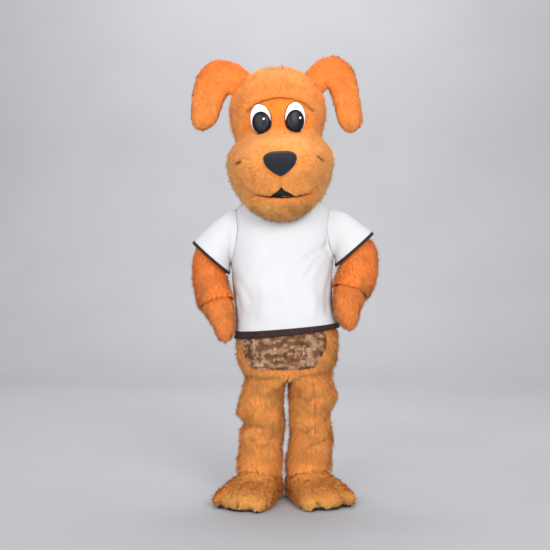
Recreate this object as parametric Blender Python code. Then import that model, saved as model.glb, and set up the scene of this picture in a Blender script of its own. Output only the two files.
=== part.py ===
"""A dog mascot costume as it is worn: a fur-covered head, a fur suit with a belly patch, mitts and
paw shoes, and a white shirt with dark binding.

Metres, +Z up. The costume faces -Y, so the wearer's right side is at -X. The tables give heights
above the floor, and the whole costume then hangs from the empty "wearer", which puts the origin
where the wearer's shoulders carry the suit.
"""

import math
from collections import namedtuple

import bmesh
import bpy
import numpy as np
from mathutils import Matrix, Vector
from mathutils.bvhtree import BVHTree

# Driving dimensions
SHOULDER_HEIGHT = 1.345
SEAM_GAP = 0.0003
FUR_WALL = 0.009
SHIRT_WALL = 0.0025
HEAD_WALL = 0.014
BINDING_WALL = 0.0022

BODY_POINTS = 24
BODY_SQUARENESS = 2.3
LEG_INNER_POINTS = 5
LEG_RINGS = 18
SLEEVE_POINTS = 20
ARM_POINTS = 16
MITT_POINTS = 14
THUMB_POINTS = 10
FOOT_POINTS = 28
HEAD_POINTS = 30
EAR_POINTS = 12

# The head
HEAD_BASE = (-0.0137, 0.0, 1.36)
HEAD_LEAN = math.radians(3.0)
HEAD_CENTRE = np.array([0.0, -0.03, 1.58])
HEAD_BLEND = 0.022
HEAD_GREATEST_REACH = 0.6
HEAD_HALVINGS = 30
HEAD_TURN_BUNCHING = 0.38
NECK_RISE_BEHIND = -51.5
NECK_DIP_IN_FRONT = 18.5
SEAM_SEARCH = (math.radians(-55), math.radians(85))

Ellipsoid = namedtuple("Ellipsoid", "name y z half_width half_depth rise drop")
HEAD_FORMS = (
    Ellipsoid("skull", 0.030, 1.745, 0.216, 0.205, 0.197, 0.250),
    Ellipsoid("cheeks", -0.050, 1.520, 0.235, 0.195, 0.125, 0.262),
    Ellipsoid("muzzle", -0.200, 1.490, 0.175, 0.160, 0.110, 0.110),
    Ellipsoid("chin", -0.165, 1.370, 0.150, 0.135, 0.090, 0.120),
)

# Cloth sections. tilt turns a section's width in the front view, pitch raises its back edge.
Section = namedtuple("Section", "x y z tilt pitch half_width half_depth")

# The shirt and the hips, seen from the front: a row for each level
Level = namedtuple("Level", "z x half_width half_depth y")
HIP_LEVELS = (
    Level(0.560, 0.014, 0.200, 0.160, 0.010),
    Level(0.585, 0.010, 0.208, 0.164, 0.008),
    Level(0.615, 0.009, 0.221, 0.168, 0.004),
    Level(0.670, 0.012, 0.228, 0.172, 0.000),
    Level(0.730, 0.011, 0.228, 0.172, 0.000),
    Level(0.770, 0.009, 0.224, 0.170, 0.000),
)
SHIRT_LEVELS = (
    Level(0.752, 0.009, 0.2370, 0.186, 0.000),
    Level(0.779, 0.009, 0.2340, 0.186, 0.000),
    Level(0.830, 0.003, 0.2260, 0.186, 0.000),
    Level(0.885, -0.006, 0.2210, 0.185, 0.000),
    Level(0.945, -0.011, 0.2240, 0.180, 0.000),
    Level(1.010, -0.013, 0.2260, 0.170, 0.000),
    Level(1.090, -0.013, 0.2310, 0.155, 0.000),
    Level(1.180, -0.012, 0.2310, 0.138, 0.002),
    Level(1.255, -0.011, 0.2240, 0.123, 0.004),
    Level(1.305, -0.010, 0.2090, 0.110, 0.006),
    Level(1.335, -0.010, 0.1820, 0.098, 0.008),
    Level(1.352, -0.010, 0.1450, 0.088, 0.010),
    Level(1.360, -0.010, 0.1150, 0.080, 0.010),
)
HEM_SLOPE = 0.110
HEM_FADE = 0.24
SUIT_SLACK = 0.011
SUIT_SLACK_FADE = 0.12
SUIT_TOUCH_FROM = 1.30
SUIT_EVERY_LEVEL_FROM = 1.17
SUIT_LOW_LEVELS = (3, 5)

# How the shirt's bindings lie, and how limbs run into the body's cloth
HEM_BINDING_LEVELS = 2
BINDING_OVERHANG = 0.0015
BINDING_ROLL = 0.4 * BINDING_WALL
SLEEVE_ROOT_DEPTH = 0.2 * SHIRT_WALL
ARM_ROOT_DEPTH = 0.6 * FUR_WALL
ARMHOLE_CUTTER_RUN = 0.030

ARM_ROWS = {
    "right": (
        Section(-0.2450, 0.000, 1.195, -80, 0, 0.0770, 0.060),
        Section(-0.3033, 0.002, 1.1388, -49, 0, 0.0716, 0.068),
        Section(-0.3248, 0.000, 1.0965, -35, 3, 0.0818, 0.075),
        Section(-0.3365, -0.005, 1.040, -21, 8, 0.0831, 0.081),
        Section(-0.3323, -0.018, 0.9785, -4, 16, 0.0835, 0.083),
        Section(-0.3180, -0.042, 0.922, 9, 22, 0.0830, 0.083),
        Section(-0.3045, -0.060, 0.884, 15, 24, 0.0830, 0.083),
    ),
    "left": (
        Section(0.2225, 0.000, 1.205, 82, 0, 0.0750, 0.060),
        Section(0.2798, 0.002, 1.1585, 48, 0, 0.0720, 0.068),
        Section(0.3023, 0.000, 1.1285, 39, 3, 0.0890, 0.075),
        Section(0.3236, -0.005, 1.0855, 25, 8, 0.0980, 0.081),
        Section(0.3195, -0.018, 1.0325, 15, 16, 0.1000, 0.083),
        Section(0.3095, -0.042, 0.977, -5, 22, 0.0950, 0.083),
        Section(0.2900, -0.060, 0.935, -18, 24, 0.0855, 0.083),
    ),
}
MITT_ROWS = {
    "right": (
        Section(-0.3123, -0.050, 0.9060, 12, 23, 0.0680, 0.0680),
        Section(-0.3035, -0.061, 0.8810, 15, 24, 0.0700, 0.0695),
        Section(-0.2925, -0.073, 0.8530, 11, 20, 0.0695, 0.0680),
        Section(-0.2790, -0.084, 0.8150, 4, 14, 0.0600, 0.0620),
        Section(-0.2710, -0.091, 0.7830, 0, 8, 0.0510, 0.0560),
        Section(-0.2670, -0.096, 0.7560, 0, 4, 0.0430, 0.0490),
        Section(-0.2660, -0.099, 0.7320, 0, 0, 0.0310, 0.0370),
        Section(-0.2660, -0.101, 0.7190, 0, 0, 0.0160, 0.0190),
    ),
    "left": (
        Section(0.2975, -0.051, 0.9560, -14, 23, 0.0700, 0.0680),
        Section(0.2885, -0.061, 0.9320, -18, 24, 0.0715, 0.0695),
        Section(0.2795, -0.079, 0.9040, -14, 20, 0.0705, 0.0680),
        Section(0.2745, -0.100, 0.8690, -6, 14, 0.0620, 0.0620),
        Section(0.2725, -0.112, 0.8380, -2, 8, 0.0535, 0.0560),
        Section(0.2760, -0.116, 0.8110, 0, 4, 0.0450, 0.0490),
        Section(0.2810, -0.117, 0.7870, 0, 0, 0.0325, 0.0370),
        Section(0.2830, -0.117, 0.7740, 0, 0, 0.0165, 0.0190),
    ),
}
MITT_SQUARENESS = 2.2
MITT_TIP_ROOM = 0.002
MITT_END = {"right": (-0.266, -0.102, 0.713), "left": (0.2830, -0.117, 0.7685)}
THUMB_ROWS = (
    Section(0.000, 0.000, 0.000, 0, -35, 0.0250, 0.0260),
    Section(0.004, 0.044, -0.012, 0, -45, 0.0270, 0.0280),
    Section(0.008, 0.078, -0.032, 0, -30, 0.0260, 0.0270),
    Section(0.010, 0.098, -0.058, 0, -12, 0.0220, 0.0230),
    Section(0.011, 0.106, -0.078, 0, 0, 0.0130, 0.0140),
)
THUMB_END = (0.011, 0.107, -0.086)
THUMB_ROOT = {"right": (-0.288, -0.072, 0.826), "left": (0.275, -0.072, 0.876)}

SHIRT_SLEEVE_ROWS = {
    "right": (
        Section(-0.2463, 0.002, 1.177, -90, 0, 0.1270, 0.076),
        Section(-0.2690, 0.002, 1.156, -79, 0, 0.1163, 0.086),
        Section(-0.2983, 0.002, 1.128, -61, 0, 0.1073, 0.097),
        Section(-0.3274, 0.002, 1.0922, -41.3, 0, 0.1064, 0.104),
        Section(-0.3335, 0.002, 1.0817, -40.9, 0, 0.1085, 0.105),
    ),
    "left": (
        Section(0.2233, 0.002, 1.1940, 90, 0, 0.1080, 0.076),
        Section(0.2463, 0.002, 1.183, 78, 0, 0.1106, 0.086),
        Section(0.2785, 0.002, 1.1547, 58, 0, 0.1046, 0.097),
        Section(0.3067, 0.002, 1.130, 41.6, 0, 0.1099, 0.104),
        Section(0.3129, 0.002, 1.1195, 41.2, 0, 0.1122, 0.105),
    ),
}

LegLevel = namedtuple("LegLevel", "z x half_width y half_depth")
LEG_LEVELS = {
    "right": (
        LegLevel(0.5600, -0.0930, 0.0950, 0.010, 0.150),
        LegLevel(0.5175, -0.0930, 0.0970, 0.010, 0.125),
        LegLevel(0.4800, -0.0990, 0.0975, 0.010, 0.115),
        LegLevel(0.4400, -0.1095, 0.1010, 0.010, 0.113),
        LegLevel(0.4000, -0.1110, 0.1060, 0.008, 0.113),
        LegLevel(0.3650, -0.1020, 0.1055, 0.008, 0.110),
        LegLevel(0.3440, -0.0930, 0.0970, 0.010, 0.104),
        LegLevel(0.3180, -0.0980, 0.1020, 0.012, 0.108),
        LegLevel(0.2800, -0.1050, 0.1000, 0.014, 0.107),
        LegLevel(0.2250, -0.1096, 0.0979, 0.016, 0.104),
        LegLevel(0.1755, -0.1140, 0.1020, 0.012, 0.106),
        LegLevel(0.1260, -0.1152, 0.1035, 0.008, 0.108),
        LegLevel(0.1080, -0.1148, 0.1040, 0.008, 0.110),
    ),
    "left": (
        LegLevel(0.5600, 0.1180, 0.1000, 0.010, 0.150),
        LegLevel(0.5175, 0.1180, 0.1080, 0.010, 0.125),
        LegLevel(0.4750, 0.1260, 0.1105, 0.010, 0.116),
        LegLevel(0.4350, 0.1240, 0.1070, 0.010, 0.112),
        LegLevel(0.3950, 0.1110, 0.0920, 0.010, 0.105),
        LegLevel(0.3600, 0.1115, 0.0905, 0.010, 0.106),
        LegLevel(0.3300, 0.1160, 0.0935, 0.012, 0.109),
        LegLevel(0.2950, 0.1200, 0.0975, 0.013, 0.108),
        LegLevel(0.2450, 0.1175, 0.0999, 0.015, 0.104),
        LegLevel(0.2000, 0.1133, 0.1012, 0.024, 0.104),
        LegLevel(0.1600, 0.1085, 0.1035, 0.030, 0.107),
        LegLevel(0.1250, 0.1075, 0.1045, 0.034, 0.108),
        LegLevel(0.1080, 0.1070, 0.1045, 0.034, 0.110),
    ),
}
LEG_SPLIT_FADE = 0.085
LEG_GAP_X = -0.004
LEG_HEM_LIFT = 0.040
LEG_HEM_FADE = 0.075
LEG_HEM_POINT = 1.2
LEG_SPLIT_NEAR = 0.004
LEG_SPLIT_LOW = 0.50
LEG_FOLD_FADE = 0.030

# Folds pressed into the legs: where they lie, how they run and how deep they are.
# angle 0 is the front, 90 the wearer's left.
Fold = namedtuple("Fold", "z angle run spread depth slope")
LEG_FOLDS = {
    "right": (
        Fold(0.540, -15, 0.012, 75, 0.010, 0.000),
        Fold(0.455, 5, 0.026, 45, -0.008, 0.000),
        Fold(0.352, -62, 0.012, 40, 0.010, 0.020),
        Fold(0.330, 5, 0.016, 34, 0.012, -0.045),
        Fold(0.292, 22, 0.014, 26, 0.012, 0.040),
        Fold(0.375, 10, 0.022, 40, -0.006, 0.000),
        Fold(0.245, -10, 0.020, 60, -0.005, 0.015),
        Fold(0.165, -5, 0.010, 50, 0.007, 0.012),
        Fold(0.138, 20, 0.009, 40, 0.007, -0.012),
        Fold(0.420, 170, 0.014, 60, 0.009, 0.015),
        Fold(0.350, 190, 0.014, 60, 0.009, -0.015),
        Fold(0.200, 180, 0.014, 60, 0.007, 0.010),
    ),
    "left": (
        Fold(0.540, 10, 0.012, 75, 0.010, 0.000),
        Fold(0.455, 20, 0.028, 45, -0.008, 0.000),
        Fold(0.405, 40, 0.013, 34, 0.010, 0.030),
        Fold(0.385, -20, 0.020, 34, 0.005, -0.020),
        Fold(0.345, 15, 0.020, 45, -0.006, 0.000),
        Fold(0.285, 45, 0.013, 40, 0.011, 0.030),
        Fold(0.260, -25, 0.018, 34, 0.006, -0.020),
        Fold(0.160, 30, 0.010, 50, 0.006, -0.012),
        Fold(0.420, 185, 0.014, 60, 0.009, -0.015),
        Fold(0.340, 170, 0.014, 60, 0.009, 0.015),
        Fold(0.210, 180, 0.014, 60, 0.007, 0.010),
    ),
}
SHIRT_FOLDS = (
    Fold(0.940, -74, 0.040, 11, 0.006, -0.250),
    Fold(0.880, -48, 0.050, 9, 0.006, -0.200),
    Fold(1.070, 52, 0.030, 13, 0.008, 0.300),
    Fold(0.980, 42, 0.034, 12, 0.006, 0.300),
    Fold(0.860, 62, 0.050, 13, 0.006, 0.000),
    Fold(0.840, 36, 0.060, 9, -0.004, 0.000),
    Fold(0.860, -20, 0.070, 12, -0.003, 0.000),
    Fold(1.020, 130, 0.040, 14, 0.010, -0.300),
    Fold(1.020, 230, 0.040, 14, 0.010, 0.300),
    Fold(0.860, 180, 0.070, 10, 0.006, 0.000),
    Fold(0.860, 150, 0.070, 9, -0.006, 0.000),
)

# The belly patch, over these columns of the suit's front
PATCH_COLUMNS = (-4, -3, -2, -1, 0, 1, 2, 3)
PATCH_LOW = 0.600
PATCH_LOW_ROUNDING = 0.095
PATCH_LOW_SQUARENESS = 3.5
PATCH_HIGH = 1.100
PATCH_HIGH_ROUNDING = 0.240
PATCH_HIGH_SQUARENESS = 2.4
PATCH_CLEAR_OF_ENDS = (0.005, 0.020)
PATCH_LEAST_STEP = 0.008
PATCH_PILE = 0.0045

# Paw shoes in plan: the heel is round and the toes are square
FootLevel = namedtuple("FootLevel", "z front back heel_half toe_half shift toes squareness")
FOOT_LEVELS = (
    FootLevel(0.012, 0.272, 0.105, 0.103, 0.134, 0.0175, 1.0, 6.0),
    FootLevel(0.036, 0.284, 0.108, 0.105, 0.140, 0.0175, 1.0, 6.0),
    FootLevel(0.060, 0.272, 0.107, 0.104, 0.131, 0.0160, 0.9, 5.0),
    FootLevel(0.078, 0.240, 0.105, 0.102, 0.118, 0.0120, 0.7, 4.0),
    FootLevel(0.094, 0.190, 0.098, 0.096, 0.106, 0.0080, 0.4, 3.2),
    FootLevel(0.107, 0.138, 0.0902, 0.0888, 0.0902, 0.0020, 0.1, 2.6),
    FootLevel(0.124, 0.093, 0.0855, 0.0850, 0.0850, 0.0000, 0.0, 2.2),
    FootLevel(0.152, 0.084, 0.0835, 0.0830, 0.0830, 0.0000, 0.0, 2.0),
)
FOOT_PLACES = {"right": (-0.1150, 0.008, -25.0), "left": (0.1070, 0.034, 25.0)}
TOE_GROOVES = (-0.481, 0.481)
TOE_GROOVE_WIDTH = 0.13
TOE_GROOVE_DEPTH = 0.085
TOE_GROOVE_FROM = 0.35
TOE_GROOVE_FADE = 0.4
TOE_SPREAD = 0.7
HEEL_SQUARENESS = 2.2
SOLE_THICKNESS = 0.0117
SOLE_INSET = 0.010

# Ears as seen from the front: the two edges of each section, and its thickness
EarRow = namedtuple("EarRow", "outer_x outer_z inner_x inner_z half_depth")
EAR_ROWS = {
    "right": (
        EarRow(-0.1755, 1.9305, -0.2340, 1.8090, 0.036),
        EarRow(-0.2200, 1.9600, -0.2500, 1.8180, 0.041),
        EarRow(-0.2655, 1.9740, -0.2565, 1.8160, 0.043),
        EarRow(-0.3240, 1.9710, -0.2630, 1.8090, 0.042),
        EarRow(-0.3735, 1.9370, -0.2720, 1.7910, 0.039),
        EarRow(-0.4037, 1.8830, -0.2830, 1.7620, 0.035),
        EarRow(-0.4194, 1.8040, -0.2950, 1.7235, 0.032),
        EarRow(-0.4250, 1.7415, -0.3130, 1.6900, 0.029),
        EarRow(-0.4194, 1.6965, -0.3407, 1.6700, 0.024),
    ),
    "left": (
        EarRow(0.1035, 1.9328, 0.1733, 1.8225, 0.036),
        EarRow(0.1440, 1.9688, 0.1845, 1.8405, 0.041),
        EarRow(0.1890, 1.9877, 0.19035, 1.8428, 0.043),
        EarRow(0.2385, 1.9868, 0.1962, 1.8338, 0.042),
        EarRow(0.2835, 1.9575, 0.2048, 1.8090, 0.039),
        EarRow(0.3173, 1.9080, 0.2160, 1.7730, 0.035),
        EarRow(0.3303, 1.8270, 0.2273, 1.7325, 0.032),
        EarRow(0.3443, 1.7550, 0.2394, 1.6900, 0.029),
        EarRow(0.3501, 1.7010, 0.2610, 1.6605, 0.024),
    ),
}
EAR_TIPS = {"right": (-0.389, 1.657), "left": (0.306, 1.647)}
EAR_SEAT_Y = 0.010
EAR_BURIED_RUN = 0.035
EAR_BURIED_DROPS = (0.040, 0.020)
EAR_BURIED_HALF_DEPTH = 0.030

# Eyes, nose and mouth in the head's own upright frame
EYE_X = 0.0735
EYE_Z = 1.6890
EYE_TILT = math.radians(6.0)
EYE_HALF_WIDTH = 0.0455
EYE_HALF_HEIGHT = 0.0700
EYE_BULGE = 0.0200
EYE_PROUD = 0.0040
EYE_LEAN = math.radians(10.0)
EYE_BALL = (20, 10)
PUPIL_DROP = 0.0185
PUPIL_INWARD = 0.0035
PUPIL_HALF_WIDTH = 0.0410
PUPIL_HALF_HEIGHT = 0.0490
PUPIL_LIFT = 0.0055
PUPIL_POINTS = 20
PUPIL_RINGS = ((0.94, -0.008), (1.0, 0.003), (0.85, PUPIL_LIFT), (0.5, PUPIL_LIFT), (0.0, PUPIL_LIFT))
GLINT_OFFSET = (0.016, 0.012)
GLINT_RADIUS = 0.0050
GLINT_BALL = (8, 4)
NOSE_Z = 1.4740
NOSE_HALF_WIDTH = 0.0640
NOSE_HALF_HEIGHT = 0.0520
NOSE_TAPER = 0.30
NOSE_PINCH = 0.10
NOSE_TOP_SQUARENESS = 3.2
NOSE_BOTTOM_SQUARENESS = 1.75
NOSE_SINK = 0.006
NOSE_RISE = 0.030
NOSE_POINTS = 22
NOSE_RINGS = ((0.90, -1.0), (1.0, 0.0), (0.96, 0.45), (0.82, 0.78), (0.50, 0.96), (0.0, 1.0))
MOUTH_OPENING = ((-0.0380, 1.3505), (0.0380, 1.3505), (0.0, 1.3748))
MOUTH_NOTCH_DROP = 0.013
MOUTH_NOTCH_REACH = 0.040
MOUTH_DEPTH = 0.005
MOUTH_MESH_THICKNESS = 0.003
LIP_PRESS = 0.009
LIP_ENDS_AT = math.radians(62)
LIP_FADE = math.radians(14)

# Heights of the head's seams at each turn round it, from the middle of the face
SeamRow = namedtuple("SeamRow", "turn mouth muzzle_top brow")
HEAD_SEAMS = (
    SeamRow(0, 1.341, 1.618, 1.778),
    SeamRow(22, 1.348, 1.612, 1.764),
    SeamRow(38, 1.372, 1.604, 1.735),
    SeamRow(47, 1.405, 1.602, 1.712),
    SeamRow(54, 1.450, 1.603, 1.694),
    SeamRow(60, 1.490, 1.606, 1.684),
    SeamRow(75, 1.512, 1.614, 1.674),
    SeamRow(101, 1.520, 1.622, 1.672),
    SeamRow(180, 1.520, 1.622, 1.672),
)
HEAD_STEPS = (3, 4, 2, 4)
FACE_HALF_TURN = 101

COLOURS = {
    "fur": ((0.90, 0.33, 0.085), 0.9),
    "patch_plush": ((0.33, 0.19, 0.11), 0.8),
    "shirt_cloth": ((0.93, 0.93, 0.94), 0.7),
    "binding_tape": ((0.050, 0.025, 0.022), 0.7),
    "sole_foam": ((0.012, 0.012, 0.013), 0.8),
    "eye_white": ((0.92, 0.92, 0.92), 0.3),
    "pupil_black": ((0.012, 0.012, 0.014), 0.3),
    "nose_black": ((0.030, 0.033, 0.042), 0.6),
    "mouth_mesh": ((0.010, 0.010, 0.010), 0.9),
}


def start_scene():
    """An empty scene with one collection for the costume and one for the cutters."""
    for thing in list(bpy.data.objects):
        bpy.data.objects.remove(thing)
    collections = {}
    for name in ("dog_mascot_costume", "cutters"):
        collections[name] = bpy.data.collections.new(name)
        bpy.context.scene.collection.children.link(collections[name])
    return collections


def make_materials():
    """One Principled material for each cloth, foam and plastic."""
    made = {}
    for name, (colour, roughness) in COLOURS.items():
        material = bpy.data.materials.new(name)
        material.use_nodes = True
        shader = material.node_tree.nodes["Principled BSDF"]
        shader.inputs["Base Color"].default_value = (*colour, 1.0)
        shader.inputs["Roughness"].default_value = roughness
        shader.inputs["Metallic"].default_value = 0.0
        made[name] = material
    return made


COLLECTIONS = start_scene()
MATERIALS = make_materials()


def make_empty(name, location, parent=None):
    """A frame that pieces are parented to."""
    empty = bpy.data.objects.new(name, None)
    empty.location = location
    empty.parent = parent
    COLLECTIONS["dog_mascot_costume"].objects.link(empty)
    return empty


WEARER = make_empty("wearer", (0.0, 0.0, -SHOULDER_HEIGHT))
HEAD_FRAME = make_empty("head_frame", HEAD_BASE, WEARER)
HEAD_FRAME.rotation_euler = (0.0, -HEAD_LEAN, 0.0)


def add_object(name, mesh, look, parent=WEARER):
    """Puts a finished mesh in the costume, smooth but for its cut edges."""
    mesh.materials.clear()
    mesh.materials.append(MATERIALS[look])
    mesh.shade_smooth()
    mesh.set_sharp_from_angle(angle=math.radians(55))
    piece = bpy.data.objects.new(name, mesh)
    piece.parent = parent
    COLLECTIONS["dog_mascot_costume"].objects.link(piece)
    return piece


def mesh_from(name, points, faces):
    """A closed mesh from a loft's points and faces, with collapsed rings welded."""
    mesh = bpy.data.meshes.new(name)
    mesh.from_pydata([tuple(p) for p in points], [], faces)
    bm = bmesh.new()
    bm.from_mesh(mesh)
    bmesh.ops.remove_doubles(bm, verts=bm.verts, dist=1e-6)
    bmesh.ops.recalc_face_normals(bm, faces=bm.faces)
    bm.to_mesh(mesh)
    bm.free()
    return mesh


def sheet_faces(rings, points, around, first=0):
    """The triangles of a grid of rings, whose first point is number first."""
    columns = points if around else points - 1
    faces = []
    for i in range(rings - 1):
        for j in range(columns):
            here, beside = first + i * points + j, first + i * points + (j + 1) % points
            faces.append((here, beside, beside + points))
            faces.append((here, beside + points, here + points))
    return faces


def wall_mesh(name, outer, inner, around=True, closed_end=False):
    """A cloth wall between an outer and an inner grid of rings, closed along its cut edges."""
    rings, points = outer.shape[:2]
    count = rings * points
    faces = sheet_faces(rings, points, around)
    faces += sheet_faces(rings, points, around, first=count)
    edges = [[j for j in range(points)]]
    if not closed_end:
        edges.append([(rings - 1) * points + j for j in range(points)])
    pairs = []
    for edge in edges:
        pairs += list(zip(edge, edge[1:]))
        if around:
            pairs.append((edge[-1], edge[0]))
    if not around:
        for side in (0, points - 1):
            run = [i * points + side for i in range(rings)]
            pairs += list(zip(run, run[1:]))
    faces += [(a, b, b + count, a + count) for a, b in pairs]
    return mesh_from(name, np.concatenate([outer.reshape(-1, 3), inner.reshape(-1, 3)]), faces)


def solid_mesh(name, rings, closed_start=False, closed_end=False):
    """A closed solid through rings, with flat ends where it isn't closed to a point."""
    count, points = rings.shape[:2]
    faces = sheet_faces(count, points, True)
    if not closed_start:
        faces.append(tuple(range(points)))
    if not closed_end:
        faces.append(tuple((count - 1) * points + j for j in range(points)))
    return mesh_from(name, rings.reshape(-1, 3), faces)


def smooth_rows(rows, steps):
    """Rows on a smooth curve through a table's rows, with steps to each gap."""
    table = np.array(rows, float)
    last = len(table) - 1
    made = []
    for i in range(last):
        before, after = table[max(i - 1, 0)], table[min(i + 2, last)]
        start, end = table[i], table[i + 1]
        for step in range(steps):
            t = step / steps
            leave, arrive = (end - before) / 2, (after - start) / 2
            made.append(
                (2 * t**3 - 3 * t**2 + 1) * start
                + (t**3 - 2 * t**2 + t) * leave
                + (3 * t**2 - 2 * t**3) * end
                + (t**3 - t**2) * arrive
            )
    made.append(table[last])
    return np.array(made)


def turns(points):
    """Angles round a ring, from the front by the wearer's left to the back and on."""
    return np.arange(points) * 2 * math.pi / points


def section_ring(row, points, squareness=2.0):
    """A closed ring on a tilted section of a limb."""
    x, y, z, tilt, pitch, half_width, half_depth = row
    angle = turns(points)
    across = np.sign(np.sin(angle)) * np.abs(np.sin(angle)) ** (2 / squareness)
    deep = -np.sign(np.cos(angle)) * np.abs(np.cos(angle)) ** (2 / squareness)
    tilt, pitch = math.radians(tilt), math.radians(pitch)
    side = np.array([math.cos(tilt), 0.0, math.sin(tilt)])
    depth = np.array([0.0, math.cos(pitch), -math.sin(pitch)])
    return (
        np.array([x, y, z])
        + np.outer(across, side * half_width)
        + np.outer(deep, depth * half_depth)
    )


def limb_rings(rows, points, steps, squareness=2.0):
    """The rings of a limb through its table of sections."""
    return np.array([section_ring(r, points, squareness) for r in smooth_rows(rows, steps)])


def outward(grid, around=True):
    """The unit outward direction at each point of a grid of rings."""
    if around:
        along = np.roll(grid, -1, 1) - np.roll(grid, 1, 1)
    else:
        along = np.gradient(grid, axis=1)
    up = np.gradient(grid, axis=0)
    normal = np.cross(along, up)
    length = np.linalg.norm(normal, axis=2, keepdims=True)
    centres = grid.mean(axis=1, keepdims=True)
    if around and np.sum(normal * (grid - centres)) < 0:
        normal = -normal
    flat = length[..., 0] < 1e-12
    normal = normal / np.maximum(length, 1e-12)
    for i in np.nonzero(flat.any(axis=1))[0]:
        beside = i - 1 if i else 1
        away = grid[i] - centres[beside]
        normal[i] = away / np.linalg.norm(away, axis=1, keepdims=True)
    return normal


def parted(outer, inner, first=False, last=False, sides=False):
    """Draws a panel's sewn edges back by half the seam gap, the same for both faces."""
    outer, inner = outer.copy(), inner.copy()

    def draw_back(edge, beside):
        step = outer[beside] - outer[edge]
        step = step / np.linalg.norm(step, axis=-1, keepdims=True) * (SEAM_GAP / 2)
        outer[edge] += step
        inner[edge] += step

    if first:
        draw_back(0, 1)
    if last:
        draw_back(-1, -2)
    if sides:
        draw_back((slice(None), 0), (slice(None), 1))
        draw_back((slice(None), -1), (slice(None), -2))
    return outer, inner


def pressed(grid, angles, folds):
    """Moves a grid of level rings in along its outward direction wherever a fold runs."""
    direction = outward(grid)
    depth = np.zeros(grid.shape[:2])
    for fold in folds:
        turn = np.degrees(angles)[None, :] - fold.angle
        turn = (turn + 180) % 360 - 180
        height = grid[..., 2] - fold.z - fold.slope * np.radians(turn)
        depth += fold.depth * np.exp(-((height / fold.run) ** 2) - (turn / fold.spread) ** 2)
    return grid - direction * depth[..., None]


def cut_by(piece, cutter_mesh, operation="DIFFERENCE"):
    """Cuts a piece with a closed cutter."""
    cutter = bpy.data.objects.new(f"{cutter_mesh.name}_for_{piece.name}", cutter_mesh)
    cutter.parent = piece.parent
    cutter.hide_render = True
    cutter.display_type = "WIRE"
    COLLECTIONS["cutters"].objects.link(cutter)
    boolean = piece.modifiers.new(cutter_mesh.name, "BOOLEAN")
    boolean.operation = operation
    boolean.solver = "EXACT"
    boolean.object = cutter


def surface_tree(grid):
    """A searchable surface from a grid of rings."""
    rings, points = grid.shape[:2]
    return BVHTree.FromPolygons(
        [tuple(p) for p in grid.reshape(-1, 3)], sheet_faces(rings, points, True)
    )


def rooted(rings, tree, tilt, depth):
    """Adds a limb's root ring, where its straight lines run into the body's surface."""
    way = 1 if tilt < 0 else -1
    tilt = math.radians(tilt)
    inward = Vector((way * abs(math.sin(tilt)), 0.0, abs(math.cos(tilt))))
    root = []
    for point in rings[0]:
        hit, _, _, _ = tree.ray_cast(Vector(point), inward)
        root.append(tuple(hit + inward * depth))
    return np.concatenate([np.array(root)[None], rings]), np.array(inward)


# Shirt and suit


def level_ring(row, points=BODY_POINTS):
    """A level ring of the torso."""
    z, x, half_width, half_depth, y = row
    angle = turns(points)
    power = 2 / BODY_SQUARENESS
    across = np.sign(np.sin(angle)) * np.abs(np.sin(angle)) ** power
    ahead = np.sign(np.cos(angle)) * np.abs(np.cos(angle)) ** power
    return np.stack([x + half_width * across, y - half_depth * ahead, np.full(points, z)], axis=1)


def hem_shear(grid):
    """Tilts the shirt's lower part, as its hem rides up on the wearer's left."""
    base = SHIRT_LEVELS[0].z
    fade = np.clip(1 - (grid[..., 2] - base) / HEM_FADE, 0, 1)
    grid = grid.copy()
    grid[..., 2] += HEM_SLOPE * (grid[..., 0] - SHIRT_LEVELS[0].x) * fade * fade
    return grid


def shirt_grid():
    """The shirt's outer face, from its hem to its neck."""
    rings = np.array([level_ring(r) for r in SHIRT_LEVELS])
    return hem_shear(pressed(rings, turns(BODY_POINTS), SHIRT_FOLDS))


def suit_torso_grid(shirt_inner):
    """The suit's outer face under the shirt and over the hips: it carries the shirt's shoulders."""
    levels = [i for i, row in enumerate(SHIRT_LEVELS) if row.z > SUIT_EVERY_LEVEL_FROM]
    levels = [*SUIT_LOW_LEVELS, *levels]
    plain = np.array([level_ring(r) for r in SHIRT_LEVELS])
    heights = plain[:, 0, 2]
    slack = np.clip((SUIT_TOUCH_FROM - heights) / SUIT_SLACK_FADE, 0, 1) * SUIT_SLACK
    slack = slack + 2 * SEAM_GAP
    upper = plain - outward(plain) * (SHIRT_WALL + slack)[:, None, None]
    touching = shirt_inner - outward(shirt_inner) * (2 * SEAM_GAP)
    touch = heights >= SUIT_TOUCH_FROM
    upper[touch] = touching[touch]
    hips = np.array([level_ring(r) for r in HIP_LEVELS])
    return np.concatenate([hips, upper[levels]])


def half_of(grid, side):
    """The front or the back half of a grid of rings, both side seams included."""
    quarter = grid.shape[1] // 4
    if side == "front":
        columns = np.arange(-quarter, quarter + 1)
    else:
        columns = np.arange(quarter, 3 * quarter + 1)
    return grid[:, columns]


def limb_form(name, rings, inward):
    """The closed space that a limb fills, with a little room, run on inside the body."""
    grown = rings + outward(rings) * SEAM_GAP
    inside = grown[0] + inward * ARMHOLE_CUTTER_RUN
    return solid_mesh(name, np.concatenate([inside[None], grown]))


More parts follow.
